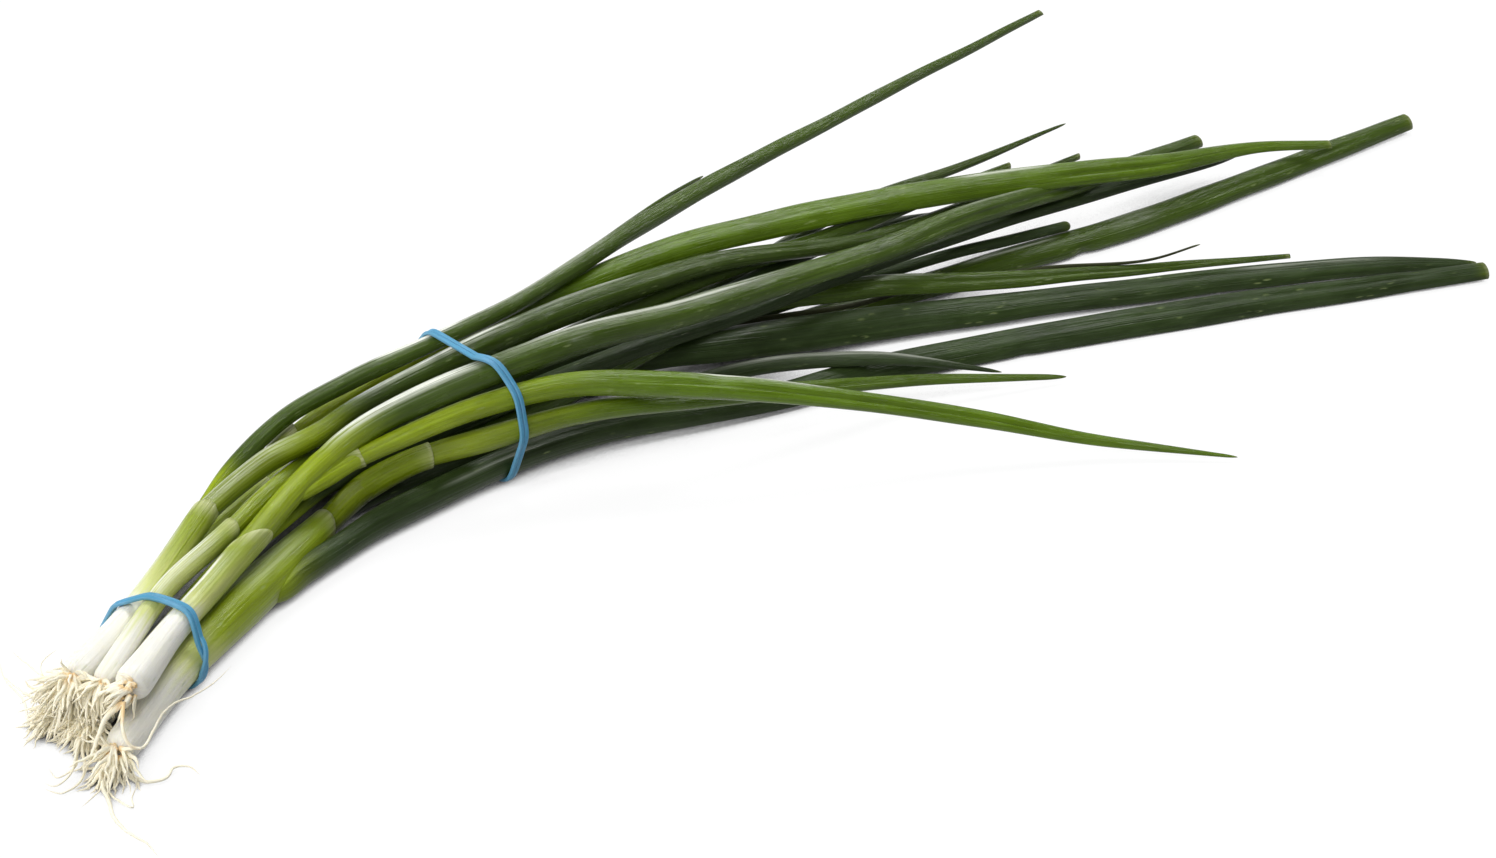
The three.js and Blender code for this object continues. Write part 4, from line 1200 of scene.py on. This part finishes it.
# ------------------------------------------------------------------ lines of this bunch
def stalk_line(name):
    """A stalk's line, and the random numbers that its skin goes on with."""
    rng = np.random.default_rng(STALK_SEED + list(STALKS).index(name))
    return Line(STALKS[name]["route"], first=STALK_FOOT, wander=STALK_WANDER, rng=rng), rng


def leaf_line(name):
    """A leaf's line, and the random numbers that its skin goes on with."""
    data = LEAVES[name]
    rng = np.random.default_rng(LEAF_SEED + list(LEAVES).index(name))
    last = data["route"][-1][3] * TIPS[data["tip"]]
    line = Line(data["route"], data["flat"], LEAF_FOOT, last, LEAF_WANDER, rng)
    twist = LEAF_TWIST * slow_noise(rng, line.distance, 170)
    line.turn(twist * smooth(40, 160, line.distance))
    return line, rng


def collar_edge(line, strength):
    """How pale a sheath is near its open end: a soft band, and a thin edge."""
    left = line.length - line.distance
    return strength * smooth(*EDGE_BAND, left) + (0.85 - strength) * smooth(*EDGE_RIM, left)


def green_growth(line, data):
    """How far a leaf's colour has grown: 0.5 in the sheath, 1 along it, and less at its tip."""
    first, full = data["green"]
    fading = TIP_FADE * smooth(TIP_FADE_LENGTH, 0, line.length - line.distance)
    return 0.5 + 0.5 * smooth(first, full, line.centre[:, 0]) - fading


def held_rings(kind):
    """The skins that a band holds: those of the stalks or of the leaves."""
    names, pick = {"stalks": (STALKS, stalk_line), "leaves": (LEAVES, leaf_line)}[kind]
    return [rings_round(pick(name)[0]) for name in names]


# ------------------------------------------------------------------ rubber bands
def sheet_of(band):
    """The ways in plan through a band's sheet and along it, and a place on it."""
    heading = math.radians(band["heading"])
    forward = np.array([math.cos(heading), math.sin(heading)])
    sideways = np.array([-forward[1], forward[0]])
    return forward, sideways, np.array(band["at"])


def bow_ahead(band, across, height):
    """How far ahead of the upright a band's sheet is."""
    reach = (across - band["bow_at"]) / band["bow_reach"]
    rise = np.clip(height / band["bow_height"], 0, 1)
    return band["bow"] * np.maximum(0, 1 - reach ** 2) * rise


def where_held(band, rings):
    """Points (across, height) where a piece's skin passes through the band's sheet."""
    forward, sideways, at = sheet_of(band)
    flat = rings[..., :2] - at
    across = flat @ sideways
    ahead = flat @ forward - bow_ahead(band, across, rings[..., 2])
    found = []
    for turn in (-TURN_OFFSET, TURN_OFFSET):
        before, after = ahead[:-1] - turn, ahead[1:] - turn
        rows, columns = np.nonzero((before < 0) & (after >= 0))
        share = before[rows, columns] / (before[rows, columns] - after[rows, columns])
        here = np.column_stack([across[rows, columns], rings[rows, columns, 2]])
        there = np.column_stack([across[rows + 1, columns], rings[rows + 1, columns, 2]])
        found.append(here + (there - here) * share[:, None])
    return np.vstack(found)


def outline_round(points):
    """The convex outline round flat points, counter-clockwise."""
    points = sorted(map(tuple, points))

    def half(row):
        chain = []
        for spot in row:
            while len(chain) > 1:
                (ax, ay), (bx, by) = chain[-2:]
                if (bx - ax) * (spot[1] - ay) - (by - ay) * (spot[0] - ax) > 0:
                    break
                chain.pop()
            chain.append(spot)
        return chain[:-1]

    return np.array(half(points) + half(points[::-1]))


def taut_loop(band, reach):
    """The flat loop of a stretched band round its pieces, its outward direction and length."""
    spots = np.vstack([where_held(band, rings) for rings in held_rings(band["held"])])
    circle = np.column_stack([np.cos(ANGLES), np.sin(ANGLES)]) * reach
    corners = outline_round((spots[:, None, :] + circle[None]).reshape(-1, 2))
    closed = np.vstack([corners, corners[:1]])
    walked = np.concatenate([[0], np.cumsum(np.linalg.norm(np.diff(closed, axis=0), axis=1))])
    spread = np.linspace(0, walked[-1], BAND_STEPS, endpoint=False)
    loop = np.column_stack([np.interp(spread, walked, closed[:, i]) for i in range(2)])
    for _ in range(BAND_SMOOTHING):
        loop = (np.roll(loop, 1, axis=0) + 2 * loop + np.roll(loop, -1, axis=0)) / 4
    along = np.roll(loop, -1, axis=0) - np.roll(loop, 1, axis=0)
    outward = np.column_stack([along[:, 1], -along[:, 0]])
    outward /= np.linalg.norm(outward, axis=1)[:, None]
    return loop, outward, walked[-1]


def wound_path(band, width, thickness):
    """One strand that goes round twice and changes places with itself, as a closed path."""
    forward, sideways, at = sheet_of(band)
    loop, outward, length = taut_loop(band, thickness / 2 + BAND_GAP)
    turns = np.arange(2 * BAND_STEPS) / BAND_STEPS
    spot = np.round((turns + band["crossing"] + 0.5) * BAND_STEPS).astype(int) % BAND_STEPS
    flat, out = loop[spot], outward[spot]
    swap = np.clip(((turns % 1) - 0.5) / (SWAP_LENGTH / length / 2), -1, 1)
    way = np.where(turns < 1, 1, -1)
    beside = way * np.sin(swap * math.pi / 2) * (width / 2 + BESIDE_GAP)
    lift = np.where(turns < 1, 0, np.cos(swap * math.pi / 2)) * (thickness + ABOVE_GAP)
    rng = np.random.default_rng(BAND_SEED + list(BANDS.values()).index(band))
    beside = beside + 0.1 * slow_noise(rng, turns * length, 60)
    flat = flat + out * lift[:, None]
    ahead = bow_ahead(band, flat[:, 0], flat[:, 1]) + beside
    plan = at + flat[:, :1] * sideways + ahead[:, None] * forward
    points = np.column_stack([plan, flat[:, 1]])
    lean = np.radians(BAND_TWIST * slow_noise(rng, turns * length, 45))
    side = np.append(sideways, 0) * out[:, :1] + np.array([0, 0, 1]) * out[:, 1:]
    normals = side * np.cos(lean)[:, None] + np.append(forward, 0) * np.sin(lean)[:, None]
    return points, normals


def path_mesh(name, runs, closed=False):
    """A mesh of joined points for a geometry tree to follow."""
    points, edges = [], []
    for run in runs:
        first = len(points)
        points += list(run)
        edges += [(i, i + 1) for i in range(first, len(points) - 1)]
        if closed:
            edges.append((len(points) - 1, first))
    return bunch_mesh(name, points, edges, [])


def settle(piece, node):
    """Hands a piece over: it rides on the bunch and stands for its CAD node."""
    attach(piece, "root")
    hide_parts(node)


# ------------------------------------------------------------------ operators
class BUNCH_OT_stalks(Operator):
    """Make the six white and green stalks, with their rounded root ends and open sheaths"""
    bl_idname = "bunch.stalks"
    bl_label = "Stalks"

    def execute(self, context):
        wall = context.scene.bunch_sizes.wall / MM
        for seed, (name, data) in enumerate(STALKS.items()):
            line, rng = stalk_line(name)
            skin = Skin(line, rings_round(line, relief=ribs(rng, line, STALK_RIBS)), seed)
            for i, distance in enumerate(line.distance):
                factor = float(np.interp(distance, FOOT_PLACES, FOOT_SHARES))
                skin.rings[i] = line.centre[i] + (skin.rings[i] - line.centre[i]) * factor
            skin.mark("growth", np.interp(line.distance, *zip(*data["green"])))
            skin.mark("rim", collar_edge(line, data["edge"]))
            add_details(skin, name)
            skin.open_end(wall, STALK_MOUTH, *data["mouth"])
            material = shared("stalk_skin", lambda: skin_material(
                "stalk_skin", STALK_TOP, 0.34, soft=0.25))
            piece = skin.make(f"{name}_stalk", material)
            settle(piece, f"{name}_shaft")
        return {"FINISHED"}


class BUNCH_OT_leaves(Operator):
    """Make the eighteen leaves, each with its own bends, folds and tip"""
    bl_idname = "bunch.leaves"
    bl_label = "Leaves"

    def execute(self, context):
        wall = context.scene.bunch_sizes.wall / MM
        for seed, (name, data) in enumerate(LEAVES.items()):
            line, rng = leaf_line(name)
            tone, shade = data["tone"]
            rings = rings_round(line, relief=ribs(rng, line, LEAF_RIBS))
            skin = Skin(line, rings, LEAF_PATTERN + seed)
            skin.mark("growth", green_growth(line, data))
            skin.mark("shade", shade * (1 + 0.09 * slow_noise(rng, line.distance, 60)))
            add_details(skin, name)
            tail = line.length - line.distance
            if data["tip"] == "cut":
                skin.mark("rim", CUT_RIM * smooth(*TIP_RIM, tail))
                skin.open_end(
                    min(wall, line.thick[-1] * 0.2), LEAF_MOUTH, 0.5, rng.uniform(0, 360))
            else:
                skin.close(True, line.width[-1] * TIPS[data["tip"]])
                skin.mark("rim", WHOLE_RIM * smooth(*TIP_RIM, tail))
            skin.close(False, LEAF_FOOT)
            piece = skin.make(f"{name}_skin", leaf_material(tone))
            settle(piece, name)
        return {"FINISHED"}


class BUNCH_OT_collars(Operator):
    """Make the thin pale collars where young leaves come out of older ones"""
    bl_idname = "bunch.collars"
    bl_label = "Collars"

    def execute(self, context):
        wall = context.scene.bunch_sizes.wall / MM
        for seed, (name, data) in enumerate(COLLARS.items()):
            line = self.collar_line(data)
            share = line.distance / line.length
            rings = rings_round(line)
            swell = COLLAR_FOOT + (data["proud"] - COLLAR_FOOT) * smooth(0, 0.85, share)
            outward = rings - line.centre[:, None, :]
            outward /= np.linalg.norm(outward, axis=2)[..., None]
            rings = rings + outward * swell[:, None, None]
            skin = Skin(line, rings, COLLAR_PATTERN + seed)
            skin.mark("growth", np.full(len(share), data["growth"]))
            skin.mark("rim", collar_edge(line, data["edge"]))
            skin.open_end(wall, COLLAR_MOUTH, *data["mouth"])
            tone = LEAVES[data["node"]]["tone"][0]
            piece = skin.make(name, leaf_material(tone))
            settle(piece, data["node"])
        return {"FINISHED"}

    @staticmethod
    def collar_line(data):
        """The collar's own line, or the part of its leaf's line that it covers."""
        if "route" in data:
            return Line(data["route"])
        line, _ = leaf_line(data["leaf"])
        keep = (line.distance >= line.at(data["start"])) & (line.distance <= line.at(data["end"]))
        for field in ("centre", "width", "thick", "along", "across", "up", "distance"):
            setattr(line, field, getattr(line, field)[keep])
        line.distance = line.distance - line.distance[0]
        line.length = line.distance[-1]
        return line


class BUNCH_OT_root_tufts(Operator):
    """Make the bushy tuft of short roots behind each onion"""
    bl_idname = "bunch.root_tufts"
    bl_label = "Root tufts"

    def execute(self, context):
        sizes = context.scene.bunch_sizes
        tree = root_tuft_tree()
        material = shared("onion_root", root_material)
        for seed, name in enumerate(STALKS):
            line, _ = stalk_line(name)
            plate, area = self.root_plate(line)
            count, longest, sink, lean = TUFTS[name]
            piece = grow(f"{name}_root_tuft", plate, tree, {
                "Density": sizes.root_share * count / area, "Seed": ROOT_SEED + seed,
                "Length": longest * MM, "Width": sizes.root_width, "Spread": TUFT_SPREAD,
                "Lean": lean, "Droop": sink * MM, "Curl": TUFT_CURL, "Floor": CAD_BOX[0][2],
                "Material": material})
            settle(piece, f"{name}_roots")
        return {"FINISHED"}

    @staticmethod
    def root_plate(line):
        """A small dome at the root end of a stalk, and its area in square metres."""
        radius = line.width[0] * PLATE_SHARE
        angles = np.linspace(0, 2 * math.pi, PLATE_SIDES, endpoint=False)
        around = line.across[0] * np.cos(angles)[:, None] + line.up[0] * np.sin(angles)[:, None]
        points, faces = [], []
        for out, back in PLATE_RINGS:
            points.append(
                line.centre[0] + around * radius * out - line.along[0] * radius * back)
        points.append((line.centre[0] - line.along[0] * radius * PLATE_TOP)[None])
        after = [(j + 1) % PLATE_SIDES for j in range(PLATE_SIDES)]
        last = (len(PLATE_RINGS) - 1) * PLATE_SIDES
        for a in range(0, last, PLATE_SIDES):
            b = a + PLATE_SIDES
            faces += [(a + j, a + k, b + k, b + j) for j, k in enumerate(after)]
        faces += [(last + j, last + k, last + PLATE_SIDES) for j, k in enumerate(after)]
        mesh = bunch_mesh("root_plate", np.vstack(points), [], faces)
        mesh.update()
        if mesh.polygons[0].normal.dot(Vector(-line.along[0])) < -0.9:
            raise RuntimeError("a root plate faces the wrong way")
        return mesh, sum(face.area for face in mesh.polygons)


class BUNCH_OT_long_roots(Operator):
    """Make the long thin roots that trail away from the tufts"""
    bl_idname = "bunch.long_roots"
    bl_label = "Long roots"

    def execute(self, context):
        tree = long_root_tree()
        material = shared("onion_root", root_material)
        for name in STALKS:
            mine = [(width, route) for owner, width, route in LONG_ROOTS if owner == name]
            if not mine:
                continue
            base = path_mesh("root_route", [route for _, route in mine])
            widths = [width * MM for width, route in mine for _ in route]
            keep_on_points(base, "root_width", widths)
            piece = grow(f"{name}_long_roots", base, tree, {"Material": material})
            settle(piece, f"{name}_roots")
        return {"FINISHED"}


class BUNCH_OT_rubber_bands(Operator):
    """Make the two rubber bands, each one strand wound twice round the bunch"""
    bl_idname = "bunch.rubber_bands"
    bl_label = "Rubber bands"

    def execute(self, context):
        sizes = context.scene.bunch_sizes
        tree = rubber_strand_tree()
        material = shared("blue_rubber", rubber_material)
        for name, band in BANDS.items():
            points, normals = wound_path(
                band, sizes.strand_width / MM, sizes.strand_thickness / MM)
            base = path_mesh("strand_path", [points], closed=True)
            keep_on_points(base, "outward", normals)
            piece = grow(f"{name}_strand", base, tree, {
                "Strand width": sizes.strand_width, "Strand thickness": sizes.strand_thickness,
                "Material": material})
            settle(piece, name)
        return {"FINISHED"}


class BUNCH_OT_studio(Operator):
    """Make the pale floor, the lamps and the camera"""
    bl_idname = "bunch.studio"
    bl_label = "Studio"

    def execute(self, context):
        light = context.scene.bunch_light
        self.floor()
        for name, (direction, distance, size) in LAMPS.items():
            self.lamp(name, direction, distance, size, getattr(light, name))
        world = bpy.data.worlds.new("studio_room")
        world.use_nodes = True
        feed(world.node_tree, world.node_tree.nodes["Background"], {
            "Color": (0.95, 0.975, 1), "Strength": light.room})
        context.scene.world = world
        context.scene.view_settings.view_transform = "Standard"
        camera = bpy.data.cameras.new("studio_camera")
        camera.lens = LENS
        camera.sensor_width = 36
        camera.clip_end = 50
        holder = stand("studio_camera", camera)
        holder.location = Vector(CAMERA_PLACE) * MM
        aim = Vector(CAMERA_AIM) * MM
        holder.rotation_euler = (aim - holder.location).to_track_quat("-Z", "Y").to_euler()
        context.scene.camera = holder
        return {"FINISHED"}

    @staticmethod
    def lamp(name, direction, distance, size, power):
        """A rectangular lamp that faces the middle of the bunch."""
        lamp = bpy.data.lights.new(name, "AREA")
        lamp.shape = "RECTANGLE"
        lamp.size, lamp.size_y = size
        lamp.energy = power
        across, away, high = direction
        towards = Vector(RIGHT * across + AWAY * away + np.array([0, 0, high]))
        holder = stand(name, lamp)
        holder.location = towards.normalized() * distance
        holder.rotation_euler = (-towards).to_track_quat("-Z", "Y").to_euler()

    @staticmethod
    def floor():
        """A wide pale floor that stays white behind the bunch, keeps its shadow and has painted
        shade near it.
        """
        low, far = CAD_BOX[0][2], FLOOR_REACH
        corners = [(-far, -far, low), (far, -far, low), (far, far, low), (-far, far, low)]
        mesh = bpy.data.meshes.new("studio_floor")
        mesh.from_pydata(corners, [], [(0, 1, 2, 3)])
        material, tree, surface = new_material("studio_floor")
        feed(tree, surface, {
            "Base Color": (0.45, 0.45, 0.45), "Roughness": 0.9, "Specular IOR Level": 0.1})
        rays = add_node(tree, "ShaderNodeLightPath").outputs
        seen = maths(tree, "MAXIMUM", rays["Is Camera Ray"], rays["Is Glossy Ray"])
        seen = maths(tree, "MAXIMUM", seen, rays["Is Transmission Ray"])
        # Painted shade: the floor's glow drops where the bunch is close, so that slits between
        # leaves are dark.
        openness_for_painted_shade = add_node(
            tree, "ShaderNodeAmbientOcclusion", {"Distance": SHADE_REACH},
            samples=8).outputs["AO"]
        strength = eased(tree, openness_for_painted_shade, *SHADE_RANGE, 0.0, FLOOR_GLOW)
        glow = output(tree, "ShaderNodeEmission", {"Color": (1, 1, 1), "Strength": strength})
        dull = output(tree, "ShaderNodeBsdfDiffuse", {"Color": (0.15, 0.15, 0.15)})
        white = output(tree, "ShaderNodeAddShader", {0: glow, 1: dull})
        both = output(tree, "ShaderNodeMixShader", {0: seen, 1: surface.outputs[0], 2: white})
        feed(tree, tree.nodes["Material Output"], {"Surface": both})
        arrange(tree)
        mesh.materials.append(material)
        plane = stand("studio_floor", mesh)
        plane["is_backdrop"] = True


class BUNCH_PT_panel(Panel):
    """Lists the steps that make the bunch"""
    bl_idname = "BUNCH_PT_panel"
    bl_label = "Spring onion bunch"
    bl_space_type = "VIEW_3D"
    bl_region_type = "UI"
    bl_category = "Bunch"

    def draw(self, context):
        for group in ("bunch_sizes", "bunch_colours", "bunch_light"):
            settings = getattr(context.scene, group)
            box = self.layout.box()
            for name in settings.__annotations__:
                box.prop(settings, name)
        for step in STEPS:
            self.layout.operator(step.bl_idname)


STEPS = (BUNCH_OT_studio, BUNCH_OT_stalks, BUNCH_OT_leaves, BUNCH_OT_collars,
         BUNCH_OT_root_tufts, BUNCH_OT_long_roots, BUNCH_OT_rubber_bands)
GROUPS = {"bunch_sizes": BunchSizes, "bunch_colours": BunchColours, "bunch_light": BunchLight}


def register():
    for made in (*GROUPS.values(), *STEPS, BUNCH_PT_panel):
        bpy.utils.register_class(made)
    for name, group in GROUPS.items():
        setattr(bpy.types.Scene, name, PointerProperty(type=group))


def unregister():
    for name in GROUPS:
        delattr(bpy.types.Scene, name)
    for made in reversed((*GROUPS.values(), *STEPS, BUNCH_PT_panel)):
        bpy.utils.unregister_class(made)


def main():
    register()
    bpy.ops.bunch.studio()
    bpy.ops.bunch.stalks()
    bpy.ops.bunch.leaves()
    bpy.ops.bunch.collars()
    bpy.ops.bunch.root_tufts()
    bpy.ops.bunch.long_roots()
    bpy.ops.bunch.rubber_bands()
    boxes = {"cad": CAD_BOX, "visual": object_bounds()}
    boxes = {name: [[float(v) for v in corner] for corner in box] for name, box in boxes.items()}


if __name__ == "__main__":
    main()
